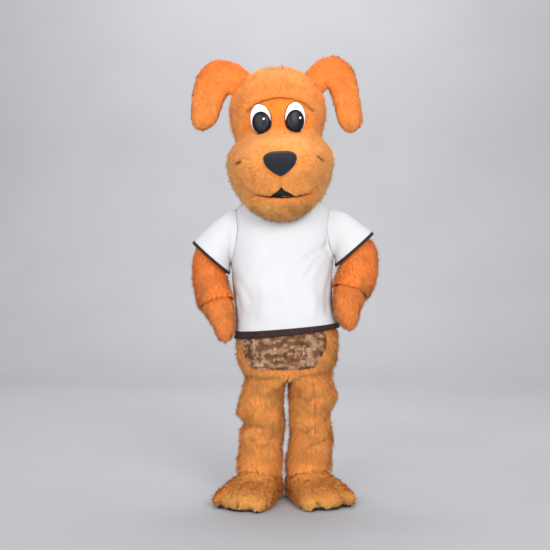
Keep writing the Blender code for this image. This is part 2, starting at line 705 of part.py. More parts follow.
def make_shirt():
    """Front, back and two sleeves in white cloth."""
    outer = shirt_grid()
    inner = outer - outward(outer) * SHIRT_WALL
    tree = surface_tree(outer)
    sleeves = {}
    forms = []
    for side, rows in SHIRT_SLEEVE_ROWS.items():
        name = f"shirt_sleeve_{side}"
        rings = limb_rings(rows, SLEEVE_POINTS, 1)
        rings, inward = rooted(rings, tree, rows[0].tilt, SLEEVE_ROOT_DEPTH)
        sleeves[side] = rings
        sleeve_inner = rings - outward(rings) * SHIRT_WALL
        add_object(name, wall_mesh(name, rings, sleeve_inner), "shirt_cloth")
        forms.append((f"shirt_armhole_{side}", rings, inward))
    for half in ("front", "back"):
        panel = parted(half_of(outer, half), half_of(inner, half), sides=True)
        name = f"shirt_{half}"
        piece = add_object(name, wall_mesh(name, *panel, around=False), "shirt_cloth")
        for form in forms:
            cut_by(piece, limb_form(*form))
    return outer, inner, sleeves


def make_binding(name, rings, edge_first):
    """A dark tape over the last stretch of a hem, wrapped just past the cut edge."""
    if not edge_first:
        rings = rings[::-1]
    direction = outward(rings)
    past = (rings[0] - rings[1]) / np.linalg.norm(rings[0] - rings[1], axis=1, keepdims=True)
    under = rings + direction * SEAM_GAP
    over = rings + direction * (SEAM_GAP + BINDING_WALL)
    for face in (under, over):
        face[0] += past * BINDING_OVERHANG
    rolled = over.copy()
    rolled[0] -= direction[0] * BINDING_ROLL
    rolled[-1] -= direction[-1] * BINDING_ROLL
    add_object(name, wall_mesh(name, rolled, under), "binding_tape")


def make_suit(shirt_inner):
    """The suit's body in two halves and its two sleeves, in fur."""
    outer = suit_torso_grid(shirt_inner)
    inner = outer - outward(outer) * FUR_WALL
    tree = surface_tree(outer)
    forms = []
    for side, rows in ARM_ROWS.items():
        name = f"arm_{side}"
        rings = limb_rings(rows, ARM_POINTS, 1)
        rings, inward = rooted(rings, tree, rows[0].tilt, ARM_ROOT_DEPTH)
        add_object(name, wall_mesh(name, rings, rings - outward(rings) * FUR_WALL), "fur")
        forms.append((f"suit_armhole_{side}", rings, inward))
    for half in ("front", "back"):
        panel = parted(half_of(outer, half), half_of(inner, half), first=True, sides=True)
        name = f"suit_{half}"
        piece = add_object(name, wall_mesh(name, *panel, around=False), "fur")
        for form in forms:
            cut_by(piece, limb_form(*form))
    return outer


def rounding(share, power):
    """0 along the middle of an outline and 1 at its sides."""
    return 1 - (1 - min(abs(share), 1.0) ** power) ** (1 / power)


def make_patch(torso):
    """The plush belly patch, made from the suit front's own points and moved out by its pile."""
    levels = torso[:, 0, 2]
    clear_low, clear_high = PATCH_CLEAR_OF_ENDS
    spanned = levels[(levels > PATCH_LOW + clear_low) & (levels < PATCH_HIGH - clear_high)]
    heights = np.concatenate([[PATCH_LOW], spanned, [PATCH_HIGH]])
    order = np.arange(len(heights))
    middle = (PATCH_COLUMNS[0] + PATCH_COLUMNS[-1]) / 2
    columns = []
    for column in PATCH_COLUMNS:
        share = (column - middle) / (PATCH_COLUMNS[-1] - middle)
        low = PATCH_LOW + PATCH_LOW_ROUNDING * rounding(share, PATCH_LOW_SQUARENESS)
        high = PATCH_HIGH - PATCH_HIGH_ROUNDING * rounding(share, PATCH_HIGH_SQUARENESS)
        z = np.clip(heights, low + PATCH_LEAST_STEP * order, high - PATCH_LEAST_STEP * order[::-1])
        edge = torso[:, column]
        columns.append([[np.interp(v, levels, edge[:, k]) for k in range(3)] for v in z])
    face = np.array(columns).transpose(1, 0, 2)
    lift = outward(face, around=False)
    name = "belly_patch"
    mesh = wall_mesh(name, face + lift * PATCH_PILE, face - lift * PATCH_PILE / 2, around=False)
    grown = torso + outward(torso) * SEAM_GAP
    cut_by(add_object(name, mesh, "patch_plush"), solid_mesh("torso_form", grown))


def leg_ring(row, side, torso_ring, split_x):
    """A leg's ring: half of the torso's last ring at the top, and round lower down."""
    z, x, half_width, y, half_depth = row
    way = 1 if side == "left" else -1
    half = BODY_POINTS // 2
    outer_angle = np.linspace(0, math.pi, half + 1)
    inner_angle = np.linspace(math.pi, 2 * math.pi, LEG_INNER_POINTS + 2)[1:-1]
    angle = np.concatenate([outer_angle, inner_angle])
    round_ring = np.stack(
        [
            x + way * half_width * np.sin(angle),
            y - half_depth * np.cos(angle),
            np.full(len(angle), z),
        ],
        axis=1,
    )
    columns = (way * np.arange(half + 1)) % BODY_POINTS
    outer_half = torso_ring[columns]
    front, back = outer_half[0], outer_half[-1]
    share = (1 - np.cos(inner_angle - math.pi)) / 2
    inner_half = back + np.outer(share, front - back)
    split = np.concatenate([outer_half, inner_half])
    split[:, 2] = z
    weight = np.clip(1 - (torso_ring[0, 2] - z) / LEG_SPLIT_FADE, 0, 1)
    weight = weight * weight * (3 - 2 * weight)
    ring = split * weight + round_ring * (1 - weight)
    gap_x = split_x * weight + LEG_GAP_X * (1 - weight) + way * SEAM_GAP / 2
    ring[:, 0] = np.maximum(ring[:, 0], gap_x) if way > 0 else np.minimum(ring[:, 0], gap_x)
    return ring, angle * way


def make_legs(torso_outer):
    """Two fur legs from the hips to the ankles, with the folds that the fur falls in."""
    torso_ring = torso_outer[0]
    split_x = torso_ring[0, 0]
    for side, levels in LEG_LEVELS.items():
        fine = smooth_rows(levels, 4)[::-1]
        heights = np.linspace(levels[0].z, levels[-1].z, LEG_RINGS)
        rows = np.stack([np.interp(heights, fine[:, 0], fine[:, k]) for k in range(5)], axis=1)
        made = [leg_ring(r, side, torso_ring, split_x) for r in rows]
        grid = np.array([ring for ring, _ in made])
        angles = made[0][1]
        low = np.clip(1 - (rows[:, 0] - rows[-1, 0]) / LEG_HEM_FADE, 0, 1)[:, None]
        ahead = np.cos(angles - math.radians(FOOT_PLACES[side][2]))
        grid[..., 2] += LEG_HEM_LIFT * low * np.clip(ahead, 0, 1)[None, :] ** LEG_HEM_POINT
        top = grid[0].copy()
        folded = pressed(grid, angles, LEG_FOLDS[side])
        fade = np.clip((torso_ring[0, 2] - rows[:, 0]) / LEG_FOLD_FADE, 0, 1)[:, None, None]
        grid = grid * (1 - fade) + folded * fade
        inner = grid - outward(grid) * FUR_WALL
        inner[0, :, 2] = top[:, 2]
        way = 1 if side == "left" else -1
        limit = split_x + way * (SEAM_GAP + FUR_WALL) / 2
        near_split = np.abs(grid[..., 0] - split_x) < LEG_SPLIT_NEAR
        near_split &= (rows[:, 0] > LEG_SPLIT_LOW)[:, None]
        inner[..., 0] = np.where(
            near_split,
            np.maximum(inner[..., 0], limit) if way > 0 else np.minimum(inner[..., 0], limit),
            inner[..., 0],
        )
        panel = parted(grid, inner, first=True)
        add_object(f"leg_{side}", wall_mesh(f"leg_{side}", *panel), "fur")


def make_mitts():
    """Two fur mitts, open at the wrist inside the cuffs, each with a stuffed thumb behind."""
    for side, rows in MITT_ROWS.items():
        rings = limb_rings(rows, MITT_POINTS, 1, MITT_SQUARENESS)
        inner = rings - outward(rings) * FUR_WALL
        rings = np.concatenate([rings, np.tile(MITT_END[side], (1, MITT_POINTS, 1))])
        inner_tip = inner[-1].mean(axis=0) + np.array([0.0, 0.0, -MITT_TIP_ROOM])
        inner = np.concatenate([inner, np.tile(inner_tip, (1, MITT_POINTS, 1))])
        name = f"mitt_{side}"
        add_object(name, wall_mesh(name, rings, inner, closed_end=True), "fur")

        thumb = limb_rings(THUMB_ROWS, THUMB_POINTS, 1)
        thumb = np.concatenate([thumb, np.tile(THUMB_END, (1, THUMB_POINTS, 1))])
        if side == "left":
            thumb = thumb * np.array([-1.0, 1.0, 1.0])
        name = f"thumb_{side}"
        mesh = solid_mesh(name, thumb + np.array(THUMB_ROOT[side]), closed_end=True)
        piece = add_object(name, mesh, "fur")
        grown = rings + outward(rings) * SEAM_GAP
        cut_by(piece, solid_mesh(f"mitt_form_{side}", grown, closed_end=True))


# Paw shoes


def foot_ring(row, side, inset=0.0):
    """A foot's ring at one level, turned out from the ankle."""
    x, y, turn = FOOT_PLACES[side]
    angle = turns(FOOT_POINTS)
    ahead, aside = np.cos(angle), np.sin(angle)
    power = np.where(ahead > 0, row.squareness, HEEL_SQUARENESS)
    reach = (np.abs(ahead) ** power + np.abs(aside) ** power) ** (-1 / power)
    ahead, aside = ahead * reach, aside * reach
    toward_toes = np.clip(ahead, 0, 1) ** TOE_SPREAD
    groove = sum(np.exp(-(((aside - middle) / TOE_GROOVE_WIDTH) ** 2)) for middle in TOE_GROOVES)
    toe_share = np.clip((ahead - TOE_GROOVE_FROM) / TOE_GROOVE_FADE, 0, 1)
    groove = groove * toe_share * row.toes * TOE_GROOVE_DEPTH
    length = np.where(ahead > 0, row.front - inset, row.back - inset)
    half = row.heel_half + (row.toe_half - row.heel_half) * toward_toes - inset
    inner_way = 1 if side == "right" else -1
    forward = ahead * length * (1 - groove)
    sideways = aside * half + inner_way * row.shift * toward_toes
    turn = math.radians(turn)
    return np.stack(
        [
            x + forward * math.sin(turn) + sideways * math.cos(turn),
            y - forward * math.cos(turn) + sideways * math.sin(turn),
            np.full(FOOT_POINTS, row.z),
        ],
        axis=1,
    )


def make_feet():
    """Two fur paw covers and their black foam soles."""
    for side in FOOT_PLACES:
        rings = np.array([foot_ring(r, side) for r in FOOT_LEVELS])
        inner = rings - outward(rings) * FUR_WALL
        inner[0, :, 2] = FOOT_LEVELS[0].z
        add_object(f"paw_{side}", wall_mesh(f"paw_{side}", rings, inner), "fur")

        outline = foot_ring(FOOT_LEVELS[0], side, SOLE_INSET)
        outline[:, 2] = 0.0
        sole = np.array([outline, outline + np.array([0.0, 0.0, SOLE_THICKNESS])])
        add_object(f"sole_{side}", solid_mesh(f"sole_{side}", sole), "sole_foam")


# Head


def head_depth(points):
    """How far points lie outside the head's blended forms: negative inside."""
    distances = []
    for form in HEAD_FORMS:
        offset = points - np.array([0.0, form.y, form.z])
        height = np.where(offset[..., 2] > 0, form.rise, form.drop)
        scaled = np.stack(
            [offset[..., 0] / form.half_width, offset[..., 1] / form.half_depth, offset[..., 2] / height],
            axis=-1,
        )
        distances.append((np.linalg.norm(scaled, axis=-1) - 1) * min(form.half_width, form.half_depth))
    stack = np.stack(distances)
    lowest = stack.min(axis=0)
    return lowest - HEAD_BLEND * np.log(np.exp(-(stack - lowest) / HEAD_BLEND).sum(axis=0))


def head_reach(direction):
    """How far the head's surface lies from its centre in each direction."""
    near = np.zeros(direction.shape[:-1])
    far = np.full(direction.shape[:-1], HEAD_GREATEST_REACH)
    for _ in range(HEAD_HALVINGS):
        middle = (near + far) / 2
        inside = head_depth(HEAD_CENTRE + direction * middle[..., None]) < 0
        near = np.where(inside, middle, near)
        far = np.where(inside, far, middle)
    return near


def head_points(turn, rise):
    """Points of the head's surface from angles round it and above its centre."""
    direction = np.stack(
        [np.sin(turn) * np.cos(rise), -np.cos(turn) * np.cos(rise), np.sin(rise)], axis=-1
    )
    return HEAD_CENTRE + direction * head_reach(direction)[..., None]


def seam_rise(turn, column):
    """The angle above the head's centre at which its surface reaches a seam's height."""
    across = [row.turn for row in HEAD_SEAMS]
    wanted = np.interp(np.abs(np.degrees(turn)), across, [row[column] for row in HEAD_SEAMS])
    low, high = (np.full(len(turn), limit) for limit in SEAM_SEARCH)
    for _ in range(HEAD_HALVINGS):
        middle = (low + high) / 2
        below = head_points(turn, middle)[:, 2] < wanted
        low = np.where(below, middle, low)
        high = np.where(below, high, middle)
    return low


def head_grid():
    """The head's outer face from the neck opening to the crown, with its rings on the seams."""
    even = np.linspace(-math.pi, math.pi, HEAD_POINTS + 1)[:-1]
    turn = even - HEAD_TURN_BUNCHING * np.sin(even)
    facing = (1 + np.cos(turn)) / 2
    neck = np.radians(NECK_RISE_BEHIND - NECK_DIP_IN_FRONT * facing**3)
    crown = np.full(len(turn), math.radians(90.0))
    seams = [neck, seam_rise(turn, 1), seam_rise(turn, 2), seam_rise(turn, 3), crown]
    rises = []
    for start, end, count in zip(seams, seams[1:], HEAD_STEPS):
        rises += [start + (end - start) * k / count for k in range(count)]
    rises.append(crown)
    grid = head_points(np.tile(turn, (len(rises), 1)), np.array(rises))
    seam_rows = np.cumsum((0,) + HEAD_STEPS)
    pressed_in = LIP_PRESS * np.clip((LIP_ENDS_AT - np.abs(turn)) / LIP_FADE, 0, 1)
    grid[seam_rows[1]] -= outward(grid)[seam_rows[1]] * pressed_in[:, None]
    return grid - np.array([0.0, 0.0, HEAD_BASE[2]]), turn, seam_rows


def make_head():
    """The fur head in five panels: a crown, then face, muzzle and jaw in front and one behind."""
    grid, turn, seams = head_grid()
    inner = grid - outward(grid) * HEAD_WALL
    inner[-1] = grid[-1].mean(axis=0) - np.array([0.0, 0.0, HEAD_WALL])
    front = np.nonzero(np.abs(turn) < math.radians(FACE_HALF_TURN))[0]
    back = np.concatenate([np.arange(front[-1], len(turn)), np.arange(0, front[0] + 1)])
    bands = {
        "head_jaw": (seams[0], seams[1], front),
        "head_muzzle": (seams[1], seams[2], front),
        "head_face": (seams[2], seams[3], front),
        "head_back": (seams[0], seams[3], back),
    }
    made = {}
    for name, (low, high, columns) in bands.items():
        rows = slice(low, high + 1)
        panel = parted(grid[rows][:, columns], inner[rows][:, columns], low > 0, True, True)
        made[name] = add_object(name, wall_mesh(name, *panel, around=False), "fur", HEAD_FRAME)
    crown = parted(grid[seams[3]:], inner[seams[3]:], True)
    crown_mesh = wall_mesh("head_crown", *crown, closed_end=True)
    add_object("head_crown", crown_mesh, "fur", HEAD_FRAME)
    form = solid_mesh("head_form", grid + outward(grid) * SEAM_GAP, closed_end=True)
    return grid, form, made["head_muzzle"]


def seat(tree, x, z, tilt=0.0):
    """A frame on the front of the head: across, up along the surface, and outward."""
    point, normal, _, _ = tree.ray_cast(Vector((x, -1.0, z)), Vector((0.0, 1.0, 0.0)))
    normal = -normal if normal.y > 0 else normal
    if x == 0:
        normal = Vector((0.0, normal.y, normal.z)).normalized()
    up = Vector((math.sin(tilt), 0.0, math.cos(tilt)))
    up = (up - normal * up.dot(normal)).normalized()
    across = up.cross(normal)
    return point, Matrix((across, up, normal)).transposed()


def ball(name, segments, rings):
    """A unit ball."""
    bm = bmesh.new()
    bmesh.ops.create_uvsphere(bm, u_segments=segments, v_segments=rings, radius=1.0)
    mesh = bpy.data.meshes.new(name)
    bm.to_mesh(mesh)
    bm.free()
    return mesh


def make_eyes(tree, form):
    """Domed white ovals, lower rims forward, with black pupils low in them and a glint on each."""
    for side, way in (("right", -1), ("left", 1)):
        place, frame = seat(tree, way * EYE_X, EYE_Z - HEAD_BASE[2], way * EYE_TILT)
        place = place + frame.col[2] * EYE_PROUD
        frame = frame @ Matrix.Rotation(-EYE_LEAN, 3, "X")
        turned = Matrix.Translation(place) @ frame.to_4x4()
        mesh = ball(f"eye_white_{side}", *EYE_BALL)
        mesh.transform(Matrix.Diagonal((EYE_HALF_WIDTH, EYE_HALF_HEIGHT, EYE_BULGE, 1.0)))
        mesh.transform(turned)
        cut_by(add_object(mesh.name, mesh, "eye_white", HEAD_FRAME), form)

        def dome(u, v, lift):
            share = min((u / EYE_HALF_WIDTH) ** 2 + (v / EYE_HALF_HEIGHT) ** 2, 1.0)
            return turned @ Vector((u, v, EYE_BULGE * math.sqrt(1 - share) + lift))

        middle = (-way * PUPIL_INWARD, -PUPIL_DROP)
        rings = []
        for share, lift in PUPIL_RINGS:
            ring = []
            for a in turns(PUPIL_POINTS):
                u = middle[0] + PUPIL_HALF_WIDTH * share * math.sin(a)
                v = middle[1] + PUPIL_HALF_HEIGHT * share * math.cos(a)
                ring.append(tuple(dome(u, v, lift)))
            rings.append(ring)
        pupil = solid_mesh(f"pupil_{side}", np.array(rings), closed_end=True)
        piece = add_object(pupil.name, pupil, "pupil_black", HEAD_FRAME)
        white = ball(f"eye_form_{side}", *EYE_BALL)
        grown = [v + SEAM_GAP for v in (EYE_HALF_WIDTH, EYE_HALF_HEIGHT, EYE_BULGE)]
        white.transform(turned @ Matrix.Diagonal((*grown, 1.0)))
        cut_by(piece, white)
        cut_by(piece, form)

        glint = ball(f"glint_{side}", *GLINT_BALL)
        glint.transform(Matrix.Scale(GLINT_RADIUS, 4))
        u, v = middle[0] + GLINT_OFFSET[0], middle[1] + GLINT_OFFSET[1]
        glint.transform(Matrix.Translation(dome(u, v, PUPIL_LIFT + GLINT_RADIUS + SEAM_GAP)))
        add_object(glint.name, glint, "eye_white", HEAD_FRAME)


def make_nose(tree, form):
    """A padded nose, wide at the top, seated on the front of the muzzle."""
    place, frame = seat(tree, 0.0, NOSE_Z - HEAD_BASE[2])
    place = place - frame.col[2] * NOSE_SINK
    angle = turns(NOSE_POINTS)
    across, up = np.sin(angle), np.cos(angle)
    power = np.where(up > 0, NOSE_TOP_SQUARENESS, NOSE_BOTTOM_SQUARENESS)
    reach = (np.abs(across) ** power + np.abs(up) ** power) ** (-1 / power)
    across, up = across * reach, up * reach
    width = NOSE_HALF_WIDTH * across * (1 + NOSE_TAPER * up - NOSE_PINCH * up * up)
    height = NOSE_HALF_HEIGHT * up
    rings = []
    for scale, rise in NOSE_RINGS:
        flat = [Vector((w * scale, h * scale, rise * NOSE_RISE)) for w, h in zip(width, height)]
        rings.append([tuple(place + frame @ p) for p in flat])
    mesh = solid_mesh("nose", np.array(rings), closed_end=True)
    cut_by(add_object("nose", mesh, "nose_black", HEAD_FRAME), form)


def prism(name, corners, way, near, far):
    """A prism on a flat outline, between two distances along a direction."""
    rings = [[tuple(c + way * reach) for c in corners] for reach in (near, far)]
    return solid_mesh(name, np.array(rings))


def make_mouth(tree, muzzle):
    """The open mouth under the lip: a notch in the muzzle panel with black mesh set into it."""
    _, frame = seat(tree, 0.0, MOUTH_OPENING[0][1] - HEAD_BASE[2])
    across, up, way = frame.col
    opening = [seat(tree, x, z - HEAD_BASE[2])[0] for x, z in MOUTH_OPENING]
    left, _, top = opening
    height = (top - left).dot(up)
    slope = -(left - top).dot(across) / height
    room = 2 * SEAM_GAP * math.hypot(1, slope)
    foot = height + MOUTH_NOTCH_DROP
    notch = [
        top - up * foot - across * (slope * foot + room),
        top - up * foot + across * (slope * foot + room),
        top + up * room / slope,
    ]
    cut_by(muzzle, prism("mouth_notch", notch, way, -MOUTH_NOTCH_REACH, MOUTH_NOTCH_REACH))
    near, far = -MOUTH_DEPTH, -MOUTH_DEPTH - MOUTH_MESH_THICKNESS
    add_object("mouth_mesh", prism("mouth_mesh", opening, way, near, far), "mouth_mesh", HEAD_FRAME)


def unleaned(x, y, z):
    """A point measured from the front, in the head's leaning frame."""
    x, z = x - HEAD_BASE[0], z - HEAD_BASE[2]
    turn = HEAD_LEAN
    return np.array([x * math.cos(turn) + z * math.sin(turn), y, z * math.cos(turn) - x * math.sin(turn)])


def make_ears(form):
    """Two stuffed ears that stand up from the crown's sides and hang."""
    angle = turns(EAR_POINTS)
    for side, rows in EAR_ROWS.items():
        rings = []
        into = EAR_BURIED_RUN if side == "right" else -EAR_BURIED_RUN
        outer_drop, inner_drop = EAR_BURIED_DROPS
        first = rows[0]
        buried = EarRow(
            first.outer_x + into,
            first.outer_z - outer_drop,
            first.inner_x + into,
            first.inner_z - inner_drop,
            EAR_BURIED_HALF_DEPTH,
        )
        for row in (buried, *rows):
            outer = unleaned(row.outer_x, EAR_SEAT_Y, row.outer_z)
            inner = unleaned(row.inner_x, EAR_SEAT_Y, row.inner_z)
            middle, half = (outer + inner) / 2, (outer - inner) / 2
            depth = np.array([0.0, row.half_depth, 0.0])
            rings.append(middle + np.outer(np.cos(angle), half) + np.outer(np.sin(angle), depth))
        x, z = EAR_TIPS[side]
        rings.append(np.tile(unleaned(x, EAR_SEAT_Y, z), (EAR_POINTS, 1)))
        mesh = solid_mesh(f"ear_{side}", np.array(rings), closed_end=True)
        cut_by(add_object(f"ear_{side}", mesh, "fur", HEAD_FRAME), form)


def main():
    """Builds the whole costume."""
    shirt_outer, shirt_inner, sleeves = make_shirt()
    make_binding("binding_hem", shirt_outer[:HEM_BINDING_LEVELS], True)
    for side, rings in sleeves.items():
        make_binding(f"binding_sleeve_{side}", rings[-2:], False)
    torso = make_suit(shirt_inner)
    make_patch(torso)
    make_legs(torso)
    make_mitts()
    make_feet()
    grid, form, muzzle = make_head()
    tree = surface_tree(grid)
    make_ears(form)
    make_eyes(tree, form)
    make_nose(tree, form)
    make_mouth(tree, muzzle)


main()
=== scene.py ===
"""The looks of the dog mascot costume: fur pile, plush patch, white shirt, glossy eyes, studio.

Metres, +Z up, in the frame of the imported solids: the costume faces -Y, the wearer's left is at +X,
and the floor lies SHOULDER_HEIGHT below the origin. Each fur panel is a smooth backing drawn in
from its solid by the depth of its pile, with a mesh of single locks standing on it.
"""

import itertools
import math
from collections import namedtuple
from contextlib import contextmanager

import bmesh
import bpy
import numpy as np
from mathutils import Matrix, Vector
from mathutils.bvhtree import BVHTree


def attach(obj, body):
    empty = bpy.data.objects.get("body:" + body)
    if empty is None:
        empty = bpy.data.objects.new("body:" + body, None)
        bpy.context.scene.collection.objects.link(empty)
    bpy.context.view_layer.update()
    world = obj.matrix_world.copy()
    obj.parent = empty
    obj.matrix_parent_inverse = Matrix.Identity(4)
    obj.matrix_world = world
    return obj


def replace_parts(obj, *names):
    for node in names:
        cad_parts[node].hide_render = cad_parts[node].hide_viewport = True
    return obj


SHOULDER_HEIGHT = 1.345
FLOOR_Z = -SHOULDER_HEIGHT

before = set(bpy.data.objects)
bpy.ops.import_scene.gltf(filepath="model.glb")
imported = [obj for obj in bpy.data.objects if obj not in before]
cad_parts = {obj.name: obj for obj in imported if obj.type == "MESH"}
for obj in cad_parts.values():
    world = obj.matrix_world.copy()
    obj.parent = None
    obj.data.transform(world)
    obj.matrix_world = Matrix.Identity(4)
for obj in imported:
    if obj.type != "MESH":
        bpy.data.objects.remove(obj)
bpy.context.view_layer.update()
rng = np.random.default_rng(7153)

# Camera, as the photograph was taken
CAMERA_BACK = 4.4
CAMERA_HEIGHT = 1.098 + FLOOR_Z
CAMERA_YAW = math.radians(0.586)
CAMERA_PITCH = math.radians(-1.17)
CAMERA_LENS = 64.0
SENSOR = 36.0
PIXEL_AT_BACK = 0.0045
AXIS_PIXEL = (285.0, 255.0)


def srgb(red, green, blue):
    """A colour of 0 to 255 as the linear one that shaders take."""
    shares = [value / 255 for value in (red, green, blue)]
    return tuple(s / 12.92 if s <= 0.04045 else ((s + 0.055) / 1.055) ** 2.4 for s in shares)


# Fur: how long its locks are, how far they lean from upright, how deep the pile is, how many
# stand on a square metre, how wide they are, and their colours at the root, along the body, at the
# tip and where the fur is mottled
Pile = namedtuple("Pile", "length lean depth density width root body tip mottle")
LEG_COLOURS = ((236, 138, 62), (248, 166, 88), (224, 160, 92), (190, 136, 72))
ARM_COLOURS = ((248, 122, 44), (252, 146, 70), (228, 152, 88), (178, 120, 62))
MITT_COLOURS = ((232, 120, 44), (238, 144, 72), (222, 148, 86), (168, 114, 60))
PAW_COLOURS = ((226, 144, 62), (238, 174, 92), (226, 172, 102), (192, 140, 76))
HEAD_COLOURS = ((252, 136, 52), (252, 158, 77), (230, 160, 92), (194, 146, 80))
MUZZLE_COLOURS = ((254, 148, 62), (254, 170, 90), (246, 172, 100), (208, 156, 88))
FACE_COLOURS = ((254, 128, 40), (254, 146, 60), (252, 150, 66), (240, 136, 56))
JAW_COLOURS = ((250, 150, 66), (246, 174, 98), (222, 168, 102), (164, 120, 68))
EAR_COLOURS = ((254, 136, 48), (254, 162, 80), (246, 168, 96), (204, 132, 70))
PILES = {
    "suit": Pile(0.022, 50, 0.0080, 105000, 0.0020, *LEG_COLOURS),
    "leg": Pile(0.022, 50, 0.0080, 105000, 0.0021, *LEG_COLOURS),
    "arm": Pile(0.019, 50, 0.0075, 110000, 0.0019, *ARM_COLOURS),
    "mitt": Pile(0.019, 50, 0.0070, 130000, 0.0019, *MITT_COLOURS),
    "thumb": Pile(0.012, 54, 0.0055, 140000, 0.0017, *MITT_COLOURS),
    "paw": Pile(0.019, 50, 0.0070, 130000, 0.0019, *PAW_COLOURS),
    "crown": Pile(0.019, 48, 0.0080, 130000, 0.0018, *HEAD_COLOURS),
    "back": Pile(0.022, 50, 0.0085, 95000, 0.0020, *HEAD_COLOURS),
    "face": Pile(0.008, 50, 0.0030, 220000, 0.0015, *FACE_COLOURS),
    "muzzle": Pile(0.015, 52, 0.0065, 150000, 0.0018, *MUZZLE_COLOURS),
    "jaw": Pile(0.020, 46, 0.0080, 140000, 0.0019, *JAW_COLOURS),
    "ear": Pile(0.016, 52, 0.0060, 140000, 0.0018, *EAR_COLOURS),
}

# Which pile each solid wears, how its fur is combed, what hides it and how far off that may lie
SIDES = ("right", "left")
Panel = namedtuple("Panel", "node pile comb hidden_by reach", defaults=((), 0.0))
PANELS = (
    Panel("suit_front", "suit", "down", ("shirt_front", "shirt_back", "belly_patch"), 0.060),
    Panel("suit_back", "suit", "down", ("shirt_front", "shirt_back"), 0.060),
    *(Panel(f"leg_{side}", "leg", "down") for side in SIDES),
    *(Panel(f"arm_{side}", "arm", "down", (f"shirt_sleeve_{side}",), 0.030) for side in SIDES),
    *(Panel(f"mitt_{side}", "mitt", "down", (f"arm_{side}",), 0.020) for side in SIDES),
    *(Panel(f"thumb_{side}", "thumb", "down") for side in SIDES),
    *(Panel(f"paw_{side}", "paw", "foot", (f"leg_{side}",), 0.020) for side in SIDES),
    *(Panel(f"head_{part}", part, "nose") for part in ("crown", "back", "face", "muzzle", "jaw")),
    *(Panel(f"ear_{side}", "ear", "ear") for side in SIDES),
)
# The fields of a sheet's flat cut, which no sheet here is given: its width, length and area, and how it
# is held
Cut = namedtuple("Cut", "width length area held")
# The angles at which one face of a solid ends, and the panels whose faces run on into each other
SHARP_EDGES = {"shirt_front": 35.0, "others": 50.0}
SEWN_TOGETHER = (
    ("suit_front", "suit_back", "leg_right", "leg_left"),
    ("head_crown", "head_back", "head_face", "head_muzzle", "head_jaw"),
    ("shirt_front", "shirt_back", "shirt_sleeve_right", "shirt_sleeve_left"),
)
# The head: what its fur is combed away from, its base and lean, and where its fur changes
NOSE_PLACE = np.array([-0.020, -0.330, 0.150])
HEAD_BASE = np.array([-0.0137, 0.0, 1.36 + FLOOR_Z])
HEAD_LEAN = math.radians(3.0)
BROW_HALF_WIDTH = 0.126
BROW_FADE = 0.026
BAND_FOOT = (0.262, 0.288)
LIP_BAND = (-0.026, 0.012)
LIP_HALF_WIDTH = (0.09, 0.15)
LIP_COLOUR = (254, 140, 50)
EAR_TOP_COLOUR = (252, 128, 48)
EAR_TOP_BAND = (0.46, 0.62)
EAR_TOP_SHARE = 0.80
# How mottled with darker fur each pile is, and for three piles the least, the growth of it, and the
# heights or breadths over which it grows
PLAIN_TONES = {"face": 0.10, "ear": 0.36, "back": 0.50, "paw": 0.30, "arm": 0.85, "others": 0.62}
GROWING_TONES = {
    "jaw": (0.15, 0.85, 0.014, 0.034),
    "crown": (0.10, 0.90, 0.50, 0.56),
    "muzzle": (0.06, 0.64, 0.172, 0.232),
}
TRIMMED_ROUND = {"head_face": 0.012, "head_crown": 0.010, "head_muzzle": 0.010, "head_jaw": 0.008}
TRIMS = ("eye_white_right", "eye_white_left", "pupil_right", "pupil_left", "nose", "mouth_mesh")
# Where two panels' fur runs together: the neighbours, the shared colour, how far it reaches and how
# strongly the locks turn to face the neighbour's way
Joint = namedtuple("Joint", "nodes colour reach turn")
JOINTS = {
    "crown": Joint(("ear_right", "ear_left"), (252, 140, 58), 0.080, 1.8),
    "ear": Joint(("head_crown",), (252, 140, 58), 0.080, 1.8),
    "leg": Joint(("paw_right", "paw_left"), (240, 158, 80), 0.060, 0.5),
    "paw": Joint(("leg_right", "leg_left"), (240, 158, 80), 0.060, 0.9),
}
# Places that the fur is combed round: the bends of the ears (x, z) and the collars of the shoes (x, y)
EAR_BENDS = {"ear_right": (-0.262, 0.440), "ear_left": (0.192, 0.455)}
EAR_BEND_HEIGHT = 0.05
FOOT_COLLARS = {"paw_right": (-0.115, 0.008), "paw_left": (0.107, 0.034)}
COLLAR_Z = FLOOR_Z + 0.17
TO_THE_TOES = np.array([0.0, -0.5, 0.0])
DOWN = np.array([0.0, 0.0, -1.0])
DOWN_AND_FORWARD = [0.0, -0.05, -1.0]

# Creases drawn over the photograph: pixel points along each, then its half width, how deep it is
# pressed, how much shorter the pile is in it, and how much painted shade darkens the pile there
Crease = namedtuple("Crease", "pixels nodes width depth shorten darken", defaults=(0, 0))
HEAD_NODES = ("head_crown", "head_face", "head_muzzle", "head_jaw")
LEGS = ("leg_right", "leg_left", "suit_front")
BROW = Crease(
    ((247.8, 111), (254, 105.5), (262, 101.3), (271, 98.8), (281, 98), (291, 98.9), (299, 101.3),
     (306.5, 105.3), (312.8, 111)), HEAD_NODES, 0.0080, 0.006, 0.90, 0.90)
SMILE = Crease(
    ((254, 194.5), (266, 196.6), (282, 197.5), (297, 196.6), (310.5, 193.5)), HEAD_NODES,
    0.0060, 0.004, 0.90, 0.70)
DIMPLE_LEFT = Crease(
    ((317, 156.5), (319.5, 158), (322.5, 161)), HEAD_NODES, 0.0085, 0.010, 0.88, 0.93)
DIMPLE_RIGHT = Crease(
    ((236, 164.5), (238, 162.5), (240.5, 161.5)), HEAD_NODES, 0.0085, 0.010, 0.88, 0.93)
